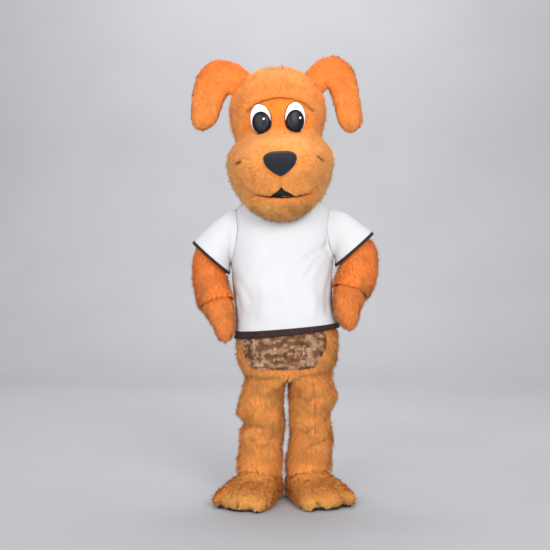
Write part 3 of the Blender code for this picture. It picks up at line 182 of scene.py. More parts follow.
CREASES = (
    BROW,
    SMILE,
    Crease(((310.5, 193.5), (318, 186), (322, 175)), HEAD_NODES, 0.0090, 0.008, 0.65, 0.60),
    Crease(((254, 194.5), (246, 188), (240, 178)), HEAD_NODES, 0.0090, 0.0075, 0.60, 0.54),
    DIMPLE_LEFT,
    DIMPLE_RIGHT,
    Crease(((280.5, 176), (281, 189)), HEAD_NODES, 0.0075, 0.008, 0.50, 0.42),
    Crease(((262, 187), (273, 194)), HEAD_NODES, 0.0090, 0.003, 0.20, 0.10),
    Crease(((244, 376), (262, 379.5), (279, 378)), LEGS, 0.0100, 0.009, 0.45, 0.42),
    Crease(((289, 383), (305, 377), (330, 373)), LEGS, 0.0100, 0.009, 0.45, 0.42),
    Crease(((243, 430), (252, 425), (262, 428)), LEGS, 0.0095, 0.010, 0.45, 0.42),
    Crease(((252, 440), (259, 449), (268, 446), (274, 438)), LEGS, 0.0085, 0.010, 0.45, 0.42),
    Crease(((311, 447), (322, 442), (332, 439)), LEGS, 0.0085, 0.011, 0.50, 0.46),
    Crease(((300, 396), (308, 402), (315, 398)), LEGS, 0.0095, 0.008, 0.35, 0.32),
    Crease(((296, 428), (306, 434), (318, 424)), LEGS, 0.0095, 0.008, 0.35, 0.32),
    Crease(((313.5, 384), (315, 410), (315.5, 434)), LEGS, 0.0055, 0.004, 0.50, 0.60),
    Crease(((254, 476), (266, 474), (277, 476)), LEGS, 0.0070, 0.006, 0.30, 0.35),
    Crease(((262, 480), (272, 481), (278, 484)), ("paw_right", "leg_right"), 0.0060, 0.004, 0.30, 0.30),
    Crease(((221, 496), (219, 502), (220, 509)), ("paw_right",), 0.0065, 0.010, 0.60, 0.80),
    Crease(((238, 503), (237, 512)), ("paw_right",), 0.0065, 0.010, 0.60, 0.75),
    Crease(((337, 490), (342, 498), (345.5, 505.5)), ("paw_left",), 0.0065, 0.010, 0.60, 0.80),
    Crease(((317, 503.5), (323, 511)), ("paw_left",), 0.0065, 0.010, 0.60, 0.75),
    Crease(((203, 303), (214, 301), (226, 296)), ("arm_right", "mitt_right"), 0.0070, 0.005, 0.40, 0.35),
    Crease(((337, 284), (350, 285), (364, 290)), ("arm_left", "mitt_left"), 0.0070, 0.005, 0.40, 0.35),
)
SHIRT_NODES = ("shirt_front", "shirt_sleeve_right", "shirt_sleeve_left")
SHIRT_CREASES = (
    Crease(((233.6, 230), (231.5, 250), (230.6, 273)), SHIRT_NODES, 0.0100, 0.006),
    Crease(((326.6, 241), (329, 255), (334, 266)), SHIRT_NODES, 0.0110, 0.006),
    Crease(((231, 275), (241, 284), (250, 300)), SHIRT_NODES, 0.0150, 0.005),
    Crease(((232, 283), (238, 298), (240, 312)), SHIRT_NODES, 0.0150, 0.005),
    Crease(((327, 246), (318, 251), (303, 262)), SHIRT_NODES, 0.0130, 0.010),
    Crease(((325, 254), (316, 262), (307, 276)), SHIRT_NODES, 0.0130, 0.007),
    Crease(((331, 272), (326, 295), (327, 312)), SHIRT_NODES, 0.0160, 0.005),
    Crease(((312, 290), (314, 302), (313, 314)), SHIRT_NODES, 0.0200, -0.006),
    Crease(((262, 290), (264, 302), (262, 314)), SHIRT_NODES, 0.0240, -0.006),
)
CREASE_STEP = 0.004
CREASE_REACH = 0.05
FAR = 9.0
# Thin dark lines of painted shade in the fur, along the brow's seam and in the dimples: the crease that
# each follows and its radius
SHADE_LINES = {
    "brow_shade_line": (BROW, 0.0011),
    "dimple_shade_left": (DIMPLE_LEFT, 0.0019),
    "dimple_shade_right": (DIMPLE_RIGHT, 0.0019),
}

# How unevenly the locks grow: shares and scales of the noise, and the ranges of each random draw
PILE_SHARE = 0.86
TUFTS = ((2.2, 0.014), (1.1, 0.045))
COMB_SCATTER = 0.16
STRAY_SHARE = 0.10
STRAY_LENGTH = 1.4
STRAY_RISE = 20
LENGTH_RANGE = (0.78, 1.12)
LENGTH_LEAST = 0.72
LENGTH_NOISE = (0.45, 0.011)
CLIPPED = 0.75
LEAN_SCATTER = 9
TIP_LEAN = math.radians(24)
TWIST = 0.30
WIDTH_RANGE = (0.7, 1.25)
TAPER = 0.8
CLEAR_OF_FLOOR = 0.004
MOTTLE_NOISE = ((0.50, 0.050), (0.28, 0.017), (0.22, 0.006))
MOTTLE_BAND = (0.40, 0.64)
MOTTLE_SHARES = (0.5, 0.8, 1.0)
BRIGHT_RANGE = (0.88, 1.10)
WARMTH_SIZE = 0.018
WARMTH = ((1.0, 0.0), (0.91, 0.17), (0.86, 0.26))
JOINT_SHARE = 0.8
JOINT_ALIKE = 0.2
TILT_ALONG = 0.30
TILT_SCATTER = 0.14

# Skins and cloth: how finely they are netted, how lumpy and how thick they are
WELD = 2e-6
NET_WELD = 2e-5
SLIVER = 1e-9
SEAM_GRID = 0.0012
SEAM_ALIKE = 0.6
FLAT_SHARE, CURVED_SHARE = 0.3, 0.7
FUR_CUTS = 3
CLOTH_CUTS = 4
LUMPS = {"plain": 0.0016, "leg": 0.0070, "suit": 0.0040, "arm": 0.0030, "jaw": 0.0030}
LUMP_SIZE = 0.040
CLOTH_LUMPS = 0.0008
BACKING_THICKNESS = 0.0030
SHIRT_THICKNESS = 0.0024
BINDING_THICKNESS = 0.0022
PATCH_BACKING = 0.0015

# Plush of the patch: its pile, its crushing, and its light, dark and deep colours
PATCH_PANEL = Panel("belly_patch", "suit", "down", ("shirt_front",), 0.060)
PATCH_CUTS = 5
PATCH_DEPTH = 0.0022
PATCH_CRUSH = 0.0035
PATCH_CRUSH_SIZE = 0.016
PATCH_DENSITY = 420000
PATCH_TUFT = 0.018
PATCH_RISE = 0.75
PATCH_LOCK = 0.0048
PATCH_LOCK_RANGE = (0.7, 1.2)
PATCH_LOCK_HALF_WIDTH = 0.0009
PATCH_TWIST = 0.2
PATCH_BRIGHT_RANGE = (0.95, 1.05)
PATCH_SHADES = ((204, 168, 136), (150, 110, 80), (104, 70, 48))
PATCH_BACKING_COLOUR = (120, 80, 52)
PATCH_SQUASH = (1, 1, 1.9)
PATCH_NOISE = ((0.25, 0.012), (0.15, 0.05))
PATCH_LIGHT_BAND = (0.38, 0.64)
PATCH_DEEP_BAND = (-0.46, -0.34)
PATCH_PALER_BELOW = 0.09
PATCH_PALE_BAND = (0.74, 0.80)
PATCH_ROOT_SHADE = 0.85

# The face's small parts
MOUTH_GROWTH = (1.40, 1.0, 1.55)
MOUTH_SHIFT = (0.0, 0.001, -0.0065)
RIM_GROWTH = 1.05
RIM_SET_BACK = 0.0032
LINE_END = 0.25
LINE_SWELL = 6
# A dark line of painted shade in the gap between the lips: its radius and how far it is shifted
LIP_SHADE_LINE_RADIUS = 0.0026
LIP_SHADE_LINE_SHIFT = np.array([0.0, 0.0012, -0.001])
# The colour of the lines of painted shade along the brow's seam and in the dimples
SHADE_LINE_COLOUR = (84, 50, 28)


# Shape tools


def unit(vectors):
    """Vectors of length 1."""
    return vectors / np.maximum(np.linalg.norm(vectors, axis=-1, keepdims=True), 1e-12)


LATTICE_SIZE = 32
SLOPE_STEP = 0.3
LATTICE = np.random.default_rng(11).random((LATTICE_SIZE,) * 3)


def noise(points, scale):
    """Smooth noise from 0 to 1 with lumps of that scale."""
    place = points / scale
    base = np.floor(place).astype(int)
    share = place - base
    share = share * share * (3 - 2 * share)
    total = np.zeros(points.shape[:-1])
    for corner in itertools.product((0, 1), repeat=3):
        weight = np.prod(np.where(np.array(corner) == 1, share, 1 - share), axis=-1)
        i, j, k = np.moveaxis((base + np.array(corner)) % LATTICE_SIZE, -1, 0)
        total += weight * LATTICE[i, j, k]
    return total


def noise_slope(points, scale):
    """The direction in which that noise grows."""
    step = scale * SLOPE_STEP
    ahead = [noise(points + step * axis, scale) for axis in np.eye(3)]
    behind = [noise(points - step * axis, scale) for axis in np.eye(3)]
    return np.stack(ahead, axis=-1) - np.stack(behind, axis=-1)


def layered(points, layers):
    """Noise of several scales added up by their shares."""
    return sum(share * noise(points, scale) for share, scale in layers)


def solid_of(node):
    """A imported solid's welded points and its triangles."""
    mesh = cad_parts[node].data
    mesh.calc_loop_triangles()
    points = np.empty(len(mesh.vertices) * 3, np.float32)
    mesh.vertices.foreach_get("co", points)
    triangles = np.empty(len(mesh.loop_triangles) * 3, np.int32)
    mesh.loop_triangles.foreach_get("vertices", triangles)
    points = points.reshape(-1, 3).astype(float)
    key = np.round(points / WELD).astype(np.int64)
    _, first, inverse = np.unique(key, axis=0, return_index=True, return_inverse=True)
    triangles = inverse.reshape(-1)[triangles].reshape(-1, 3)
    whole = (
        (triangles[:, 0] != triangles[:, 1])
        & (triangles[:, 1] != triangles[:, 2])
        & (triangles[:, 0] != triangles[:, 2])
    )
    return points[first], triangles[whole]


def face_normals(points, triangles):
    """Each triangle's normal, twice its area long."""
    a, b, c = (points[triangles[:, k]] for k in range(3))
    return np.cross(b - a, c - a)


def outer_face(points, triangles, sharp):
    """The part of a solid that faces outward most and that no sharp edge crosses."""
    normals = face_normals(points, triangles)
    area = np.linalg.norm(normals, axis=1)
    normals = unit(normals)
    owner = {}
    parent = list(range(len(triangles)))

    def root(face):
        while parent[face] != face:
            parent[face] = parent[parent[face]]
            face = parent[face]
        return face

    limit = math.cos(math.radians(sharp))
    for face, triangle in enumerate(triangles):
        for a, b in ((0, 1), (1, 2), (2, 0)):
            edge = tuple(sorted((triangle[a], triangle[b])))
            if edge in owner:
                beside = owner[edge]
                if normals[face] @ normals[beside] > limit or min(area[face], area[beside]) < SLIVER:
                    parent[root(face)] = root(beside)
            else:
                owner[edge] = face
    roots = np.array([root(face) for face in range(len(triangles))])
    away = points[triangles].mean(axis=1) - points.mean(axis=0)
    outward = np.sum(normals * away, axis=1) * area
    facing = np.bincount(roots, weights=outward, minlength=len(triangles))
    return triangles[roots == facing.argmax()]


def point_normals(points, triangles):
    """A smooth normal at each point of a face."""
    normals = np.zeros_like(points)
    faces = face_normals(points, triangles)
    for k in range(3):
        np.add.at(normals, triangles[:, k], faces)
    return unit(normals)


def sewn_normals(faces):
    """Each panel's point normals, shared with the panels that it is sewn to."""
    found = {name: point_normals(*face) for name, face in faces.items()}
    for group in SEWN_TOGETHER:
        keys = {name: np.round(faces[name][0] / SEAM_GRID).astype(int) for name in group}
        shared = {}
        for name in group:
            for key, normal in zip(map(tuple, keys[name]), found[name]):
                shared[key] = shared.get(key, 0) + normal
        for name in group:
            own = found[name]
            both = unit(np.array([shared[key] for key in map(tuple, keys[name])]))
            alike = np.sum(own * both, axis=1) > SEAM_ALIKE
            found[name] = np.where(alike[:, None], both, own)
    return found


def lattice(cuts):
    """Weights of a triangle's corners at the points of a finer net in it, and the net's faces."""
    places = [(i, j) for i in range(cuts + 1) for j in range(cuts + 1 - i)]
    number = {place: k for k, place in enumerate(places)}
    weights = np.array([((cuts - i - j) / cuts, i / cuts, j / cuts) for i, j in places])
    faces = []
    for i, j in places:
        if i + j < cuts:
            faces.append((number[i, j], number[i + 1, j], number[i, j + 1]))
        if i + j < cuts - 1:
            faces.append((number[i + 1, j], number[i + 1, j + 1], number[i, j + 1]))
    return weights, np.array(faces)


def rounded(points, normals, triangles, cuts):
    """A finer net over a faceted face, bulged between its points as their normals say."""
    weights, faces = lattice(cuts)
    corners, corner_normals = points[triangles], normals[triangles]
    flat = np.einsum("lk,tkd->tld", weights, corners)
    curved = np.zeros_like(flat)
    for k in range(3):
        off = flat - corners[:, None, k]
        normal = corner_normals[:, None, k]
        foot = flat - np.sum(off * normal, axis=2, keepdims=True) * normal
        curved += weights[None, :, k, None] * foot
    net = FLAT_SHARE * flat + CURVED_SHARE * curved
    net_normals = unit(np.einsum("lk,tkd->tld", weights, corner_normals))
    per = len(weights)
    base = (np.arange(len(triangles)) * per)[:, None, None]
    return net.reshape(-1, 3), net_normals.reshape(-1, 3), (base + faces[None]).reshape(-1, 3)


def net_of(node, cuts):
    """A finer, rounded net over a node's outer face, with its normals and its faces."""
    points, faces = OUTER[node]
    return rounded(points, NORMALS[node], faces, cuts)


def tree_of(*nodes):
    """A searchable surface over some solids."""
    points, triangles, count = [], [], 0
    for node in nodes:
        own_points, own_triangles = SOLIDS[node]
        points.append(own_points)
        triangles.append(own_triangles + count)
        count += len(own_points)
    return BVHTree.FromPolygons(np.concatenate(points).tolist(), np.concatenate(triangles).tolist())


SOLIDS = {node: solid_of(node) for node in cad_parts}
OUTER = {
    node: (points, outer_face(points, faces, SHARP_EDGES.get(node, SHARP_EDGES["others"])))
    for node, (points, faces) in SOLIDS.items()
}
NORMALS = sewn_normals(OUTER)


# Creases


def pixel_ray(pixel):
    """The camera's place and the direction through a pixel of the photograph."""
    across = (pixel[0] - AXIS_PIXEL[0]) * PIXEL_AT_BACK
    up = (AXIS_PIXEL[1] - pixel[1]) * PIXEL_AT_BACK
    return Vector((0.0, -CAMERA_BACK, CAMERA_HEIGHT)), Vector((across, CAMERA_BACK, up)).normalized()


def crease_line(crease, tree):
    """Close points along a crease, on the surface that shows there."""
    line = []
    for start, end in zip(crease.pixels, crease.pixels[1:]):
        start, end = np.array(start, float), np.array(end, float)
        steps = max(2, int(np.linalg.norm(end - start) * PIXEL_AT_BACK / CREASE_STEP))
        for k in range(steps + 1):
            hit, _, _, _ = tree.ray_cast(*pixel_ray(start + (end - start) * k / steps))
            if hit is not None:
                line.append(tuple(hit))
    return np.array(line)


def crease_lines(creases):
    """Each crease with its line, by node."""
    by_node = {}
    for crease in creases:
        line = crease_line(crease, tree_of(*crease.nodes))
        for node in crease.nodes:
            by_node.setdefault(node, []).append((crease, line))
    return by_node


def crease_weights(points, found):
    """How far each point lies in each crease: 1 along its line and 0 well away from it."""
    weights = []
    for crease, line in found:
        nearest = np.full(len(points), FAR)
        low, high = line.min(axis=0) - CREASE_REACH, line.max(axis=0) + CREASE_REACH
        near = np.all((points > low) & (points < high), axis=1)
        if near.any():
            away = points[near][:, None] - line[None]
            nearest[near] = np.linalg.norm(away, axis=2).min(axis=1)
        weights.append((crease, np.exp(-((nearest / crease.width) ** 2))))
    return weights


def painted_crease_shade(points, found):
    """How much painted shade darkens the fur at each point in its creases."""
    dark = np.zeros(len(points))
    for crease, weight in crease_weights(points, found):
        dark = np.maximum(dark, crease.darken * weight)
    return dark


FUR_CREASES = crease_lines(CREASES)
CLOTH_CREASES = crease_lines(SHIRT_CREASES)


# Pieces


def mesh_object(name, points, faces, material):
    """A smooth mesh that rides with the costume."""
    mesh = bpy.data.meshes.new(name)
    mesh.vertices.add(len(points))
    mesh.vertices.foreach_set("co", np.asarray(points, np.float32).ravel())
    mesh.loops.add(faces.size)
    mesh.loops.foreach_set("vertex_index", np.asarray(faces, np.int32).ravel())
    mesh.polygons.add(len(faces))
    mesh.polygons.foreach_set("loop_start", np.arange(0, faces.size, faces.shape[1], dtype=np.int32))
    mesh.update(calc_edges=True)
    return placed(name, mesh, material)


def placed(name, mesh, material):
    """A smooth piece of one material."""
    mesh.shade_smooth()
    mesh.materials.append(material)
    piece = bpy.data.objects.new(name, mesh)
    bpy.context.scene.collection.objects.link(piece)
    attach(piece, "root")
    return piece


@contextmanager
def edited(piece):
    """A piece's mesh, open for changes."""
    bm = bmesh.new()
    bm.from_mesh(piece.data)
    yield bm
    bm.to_mesh(piece.data)
    bm.free()


def welded(piece):
    """Joins the points that the finer net has twice."""
    with edited(piece) as bm:
        bmesh.ops.remove_doubles(bm, verts=bm.verts, dist=NET_WELD)
    piece.data.shade_smooth()


def smoothed(piece, rounds):
    """Evens out a piece's points, its edges held where they are."""
    axes = {f"use_axis_{axis}": True for axis in "xyz"}
    with edited(piece) as bm:
        inside = [v for v in bm.verts if not v.is_boundary]
        for _ in range(rounds):
            bmesh.ops.smooth_vert(bm, verts=inside, factor=0.5, **axes)


def thickened(piece, thickness):
    """Gives a skin its thickness, inwards."""
    shell = piece.modifiers.new("thickness", "SOLIDIFY")
    shell.thickness = thickness
    shell.offset = -1.0
    shell.use_even_offset = False


def comb_direction(panel, points, normals):
    """Which way the fur lies at each point, along the surface."""
    if panel.comb == "nose":
        way = points - NOSE_PLACE
    elif panel.comb == "ear":
        bend = EAR_BENDS[panel.node]
        turn = 1.0 if panel.node == "ear_right" else -1.0
        aside, above = points[:, 0] - bend[0], points[:, 2] - bend[1]
        round_bend = np.stack([-above * turn, np.zeros(len(points)), aside * turn], axis=1)
        hanging = np.clip(-above / EAR_BEND_HEIGHT, 0, 1)[:, None]
        way = unit(round_bend) * (1 - hanging) + DOWN * hanging
    elif panel.comb == "foot":
        way = unit(points - np.array([*FOOT_COLLARS[panel.node], COLLAR_Z])) + TO_THE_TOES
    else:
        way = np.tile(DOWN_AND_FORWARD, (len(points), 1))
    along = way - np.sum(way * normals, axis=1, keepdims=True) * normals
    return unit(along)


def head_local(points):
    """Points in the leaning head's own upright frame."""
    away = points - HEAD_BASE
    cos, sin = math.cos(HEAD_LEAN), math.sin(HEAD_LEAN)
    across, up = away[:, 0], away[:, 2]
    return np.stack([across * cos + up * sin, away[:, 1], up * cos - across * sin], 1)


def ramped(values, start, end):
    """0 up to start, 1 from end on."""
    return np.clip((values - start) / (end - start), 0, 1)


def outside_brow(points):
    """1 beyond the ends of the brow line, where the face wears the crown's longer fur."""
    aside = np.abs(head_local(points)[:, 0])
    return ramped(aside, BROW_HALF_WIDTH, BROW_HALF_WIDTH + BROW_FADE)


def band_foot(points):
    """1 low on the face, where it wears the muzzle's longer fur."""
    return 1 - ramped(head_local(points)[:, 2], *BAND_FOOT)


def measure_of(panel, pile, points, name):
    """The pile's length or depth at each place: the face's fur grows into its neighbours'."""
    own = np.full(len(points), getattr(pile, name))
    if panel.pile != "face":
        return own
    for other, share in (("muzzle", band_foot(points)), ("crown", outside_brow(points))):
        own = own * (1 - share) + getattr(PILES[other], name) * share
    return own


def region_tone(panel, points):
    """How mottled with darker fur each place is, from 0 to 1."""
    if panel.pile not in GROWING_TONES:
        return np.full(len(points), PLAIN_TONES.get(panel.pile, PLAIN_TONES["others"]))
    least, growth, start, end = GROWING_TONES[panel.pile]
    place = head_local(points)
    measures = {"jaw": -points[:, 2], "crown": place[:, 2], "muzzle": np.abs(place[:, 0])}
    return least + growth * ramped(measures[panel.pile], start, end)


def region_colours(panel, pile, points):
    """The root, body and tip colours at each place, before they are mottled."""
    colours = [np.tile(srgb(*shade), (len(points), 1)) for shade in (pile.root, pile.body, pile.tip)]
    place = head_local(points)
    blends = []
    if panel.pile == "face":
        blends = [(MUZZLE_COLOURS[:3], band_foot(points)), (HEAD_COLOURS[:3], outside_brow(points))]
    elif panel.pile == "jaw":
        share = ramped(points[:, 2], *LIP_BAND) * (1 - ramped(np.abs(place[:, 0]), *LIP_HALF_WIDTH))
        blends = [((LIP_COLOUR,) * 3, share)]
    elif panel.pile == "ear":
        blends = [((EAR_TOP_COLOUR,) * 3, EAR_TOP_SHARE * ramped(points[:, 2], *EAR_TOP_BAND))]
    for others, share in blends:
        share = share[:, None]
        colours = [
            own * (1 - share) + np.array(srgb(*other)) * share for own, other in zip(colours, others)
        ]
    return colours


def trimming(panel, points):
    """How far the fur is clipped short beside the eyes and the nose: 1 where it is shortest."""
    reach = TRIMMED_ROUND.get(panel.node)
    if reach is None:
        return np.zeros(len(points))
    tree = tree_of(*TRIMS)
    away = np.array([tree.find_nearest(Vector(point), 4 * reach)[3] or FAR for point in points])
    return np.exp(-((away / reach) ** 2))


def uncovered(panel, net, normals, faces):
    """The faces of a net that no other piece lies close over."""
    if not panel.hidden_by:
        return np.ones(len(faces), bool)
    tree = tree_of(*panel.hidden_by)
    centres = net[faces].mean(axis=1)
    ways = unit(normals[faces].mean(axis=1))
    open_faces = np.ones(len(faces), bool)
    for number, (centre, way) in enumerate(zip(centres, ways)):
        hit = tree.ray_cast(Vector(centre), Vector(way), panel.reach)[0]
        open_faces[number] = hit is None
    return open_faces


def scattered(net, normals, faces, keep, density):
    """Seeded places over a net, evenly many to each bit of its area, with their normals."""
    faces = faces[keep]
    area = np.linalg.norm(face_normals(net, faces), axis=1) / 2
    count = int(area.sum() * density)
    chosen = rng.choice(len(faces), count, p=area / area.sum())
    first, second = rng.random((2, count))
    flip = first + second > 1
    first, second = np.where(flip, 1 - first, first), np.where(flip, 1 - second, second)
    weights = np.stack([1 - first - second, first, second], axis=1)[..., None]
    corners = faces[chosen]
    return (net[corners] * weights).sum(axis=1), unit((normals[corners] * weights).sum(axis=1))


def finish_locks(mesh, shades, tilt):
    """Sets the colours of each lock's points, which its material reads, and one normal for them all."""
    layer = mesh.color_attributes.new("pile_colour", "BYTE_COLOR", "POINT")
    colours = np.stack(shades, axis=1).reshape(-1, 3)
    alpha = np.ones((len(colours), 1))
    layer.data.foreach_set("color", np.concatenate([colours, alpha], axis=1).astype(np.float32).ravel())
    mesh.normals_split_custom_set_from_vertices(np.repeat(tilt, len(shades), axis=0).tolist())


def tufted(way, roots, normals, strength, scale):
    """Leans the pile into tufts of that size."""
    pull = noise_slope(roots, scale) * strength
    pull -= np.sum(pull * normals, axis=1, keepdims=True) * normals
    return way + pull


def merging(panel, roots, normals):
    """How far each root lies in its joint with a neighbour, and normals that turn into its own."""
    share = np.zeros(len(roots))
    joint = JOINTS.get(panel.pile)
    if joint is None:
        return share, normals
    tree = tree_of(*joint.nodes)
    turned = normals.copy()
    for number, root in enumerate(roots):
        _, other, _, away = tree.find_nearest(Vector(root), joint.reach)
        if other is None:
            continue
        share[number] = 1 - away / joint.reach
        if normals[number] @ np.array(other) > JOINT_ALIKE:
            turned[number] += np.array(other) * joint.turn * share[number]
    return share, unit(turned)


def joined_shades(panel, shades, share, bright):
    """The shades of a panel's locks, running into the shared colour of its joint."""
    if panel.pile not in JOINTS:
        return shades
    shared = np.array(srgb(*JOINTS[panel.pile].colour)) * bright[:, None]
    share = JOINT_SHARE * share[:, None]
    return [shade * (1 - share) + shared * share for shade in shades]


def make_pile(panel, pile, roots, normals, material):
    """The locks of fur on one panel: tufted, shorter in its creases, and darkened there by painted
    shade.
    """
    count = len(roots)
    way = comb_direction(panel, roots, normals)
    for strength, scale in TUFTS:
        way = tufted(way, roots, normals, strength, scale)
    way = way + rng.normal(0, COMB_SCATTER, (count, 3))
    way = unit(way - np.sum(way * normals, axis=1, keepdims=True) * normals)
    stray = rng.random(count) < STRAY_SHARE
    length = measure_of(panel, pile, roots, "length") * rng.uniform(*LENGTH_RANGE, count)
    length *= (LENGTH_LEAST + layered(roots, [LENGTH_NOISE])) * np.where(stray, STRAY_LENGTH, 1.0)
    creases = FUR_CREASES.get(panel.node, [])
    surface = roots + normals * measure_of(panel, pile, roots, "depth")[:, None]
    for crease, weight in crease_weights(surface, creases):
        length *= 1 - crease.shorten * weight
    length *= 1 - CLIPPED * trimming(panel, surface)
    lean = np.radians(pile.lean + rng.normal(0, LEAN_SCATTER, count) - np.where(stray, STRAY_RISE, 0))
    further = lean + TIP_LEAN
    first = normals * np.cos(lean)[:, None] + way * np.sin(lean)[:, None]
    second = normals * np.cos(further)[:, None] + way * np.sin(further)[:, None]
    middle = roots + first * (length * 0.5)[:, None]
    tip = middle + second * (length * 0.5)[:, None]
    for stretch in (middle, tip):
        stretch[:, 2] = np.maximum(stretch[:, 2], FLOOR_Z + CLEAR_OF_FLOOR)
    across = unit(np.cross(way, normals))
    across = unit(across + normals * rng.normal(0, TWIST, count)[:, None])
    across *= (pile.width / 2 * rng.uniform(*WIDTH_RANGE, count))[:, None]
    rows = [roots - across, roots + across, middle - across * TAPER, middle + across * TAPER, tip]
    base = (np.arange(count) * 5)[:, None, None]
    faces = (base + np.array([(0, 1, 3), (0, 3, 2), (2, 3, 4)])[None]).reshape(-1, 3)
    points = np.stack(rows, axis=1).reshape(-1, 3)
    piece = mesh_object(f"pile_{panel.node}", points, faces, material)

    tone = ramped(layered(roots, MOTTLE_NOISE), *MOTTLE_BAND) * region_tone(panel, roots)
    bright = rng.uniform(*BRIGHT_RANGE, count)
    mottle = np.array(srgb(*pile.mottle))
    shades = []
    places = (surface, middle, tip)
    for shade, share, place in zip(region_colours(panel, pile, roots), MOTTLE_SHARES, places):
        mixed = (tone * share)[:, None]
        # Painted shade: each crease darkens the fur's colour at the root, the middle and the tip
        dark = painted_crease_shade(place, creases)
        shades.append((shade * (1 - mixed) + mottle * mixed) * (bright * (1 - dark))[:, None])
    joint, turned = merging(panel, roots, normals)
    warmth = noise(roots, WARMTH_SIZE)
    warmth = np.stack([least + growth * warmth for least, growth in WARMTH], axis=1)
    low, body, end = (shade * warmth for shade in joined_shades(panel, shades, joint, bright))
    tilt = unit(turned + TILT_ALONG * first + rng.normal(0, TILT_SCATTER, (count, 3)))
    finish_locks(piece.data, (low, low, body, body, end), tilt)
    return piece


def read_points(mesh, name):
    """The places or the normals of a mesh's points."""
    values = np.empty(len(mesh.vertices) * 3, np.float32)
    mesh.vertices.foreach_get(name, values)
    return values.reshape(-1, 3).astype(float)


def creased(piece, node, lumps):
    """Presses a cloth panel's creases into its smooth mesh."""
    mesh = piece.data
    points, normals = read_points(mesh, "co"), read_points(mesh, "normal")
    pressed = pressed_in(node, points, normals, CLOTH_CREASES, lumps)
    mesh.vertices.foreach_set("co", pressed.astype(np.float32).ravel())
    mesh.update()


def pressed_in(node, net, normals, found, lumps, depth=0.0):
    """A net set in by a depth, with its creases pressed in and soft lumps over it."""
    depth = depth + (noise(net, LUMP_SIZE) - 0.5) * 2 * lumps
    for crease, weight in crease_weights(net, found.get(node, [])):
        depth = depth + crease.depth * weight
    return net - normals * depth[:, None]


def fur_panel(panel, material, skin_material):
    """One fur panel: its backing and its pile."""
    pile = PILES[panel.pile]
    net, normals, fine = net_of(panel.node, FUR_CUTS)
    lumps = LUMPS.get(panel.pile, LUMPS["plain"])
    depth = measure_of(panel, pile, net, "depth")
    net = pressed_in(panel.node, net, normals, FUR_CREASES, lumps, depth)
    skin = mesh_object(f"backing_{panel.node}", net, fine, skin_material)
    welded(skin)
    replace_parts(skin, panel.node)
    keep = uncovered(panel, net, normals, fine)
    roots, root_normals = scattered(net, normals, fine, keep, pile.density * PILE_SHARE)
    return skin, make_pile(panel, pile, roots, root_normals, material)


# Materials

NOISE_ROUGHNESS = 0.55
# A plain surface: its roughness, specular level and sheen, the noise that mottles it and its two
# colours, then the noise, height and strength of its relief
Surface = namedtuple("Surface", "roughness specular sheen mottling low high relief height strength")
BACKING = Surface(0.9, 0.1, 0.0, (140.0, 4.0), None, None, (420.0, 2.0), 0.0015, 0.6)
BACKING_DEEP = 0.62
RIBS = (1.0, 1.0, 0.15)
BINDING = Surface(
    0.7, 0.2, 0.05, (60.0, 4.0), srgb(34, 20, 19), srgb(52, 34, 32), (700.0, 1.0, RIBS), 0.0008, 0.6)
SOLE = Surface(
    0.7, 0.3, 0.0, (50.0, 3.0), (0.006, 0.006, 0.007), (0.016, 0.016, 0.018), (900.0, 2.0), 0.0006, 0.5)
NOSE = Surface(
    0.7, 0.22, 0.14, (300.0, 4.0), srgb(19, 20, 24), srgb(33, 35, 42), (1500.0, 2.0), 0.0005, 0.5)
EYE = Surface(
    0.22, 0.5, 0.0, (35.0, 2.0), srgb(244, 245, 248), srgb(250, 251, 253), (9.0, 1.0), 0.0003, 0.2)
PUPIL = Surface(
    0.34, 0.18, 0.0, (35.0, 2.0), (0.005, 0.006, 0.009), (0.007, 0.009, 0.014), (9.0, 1.0), 0.0003, 0.2)
SHEEN_TINTS = {"nose_velour": (0.62, 0.72, 0.95, 1.0)}


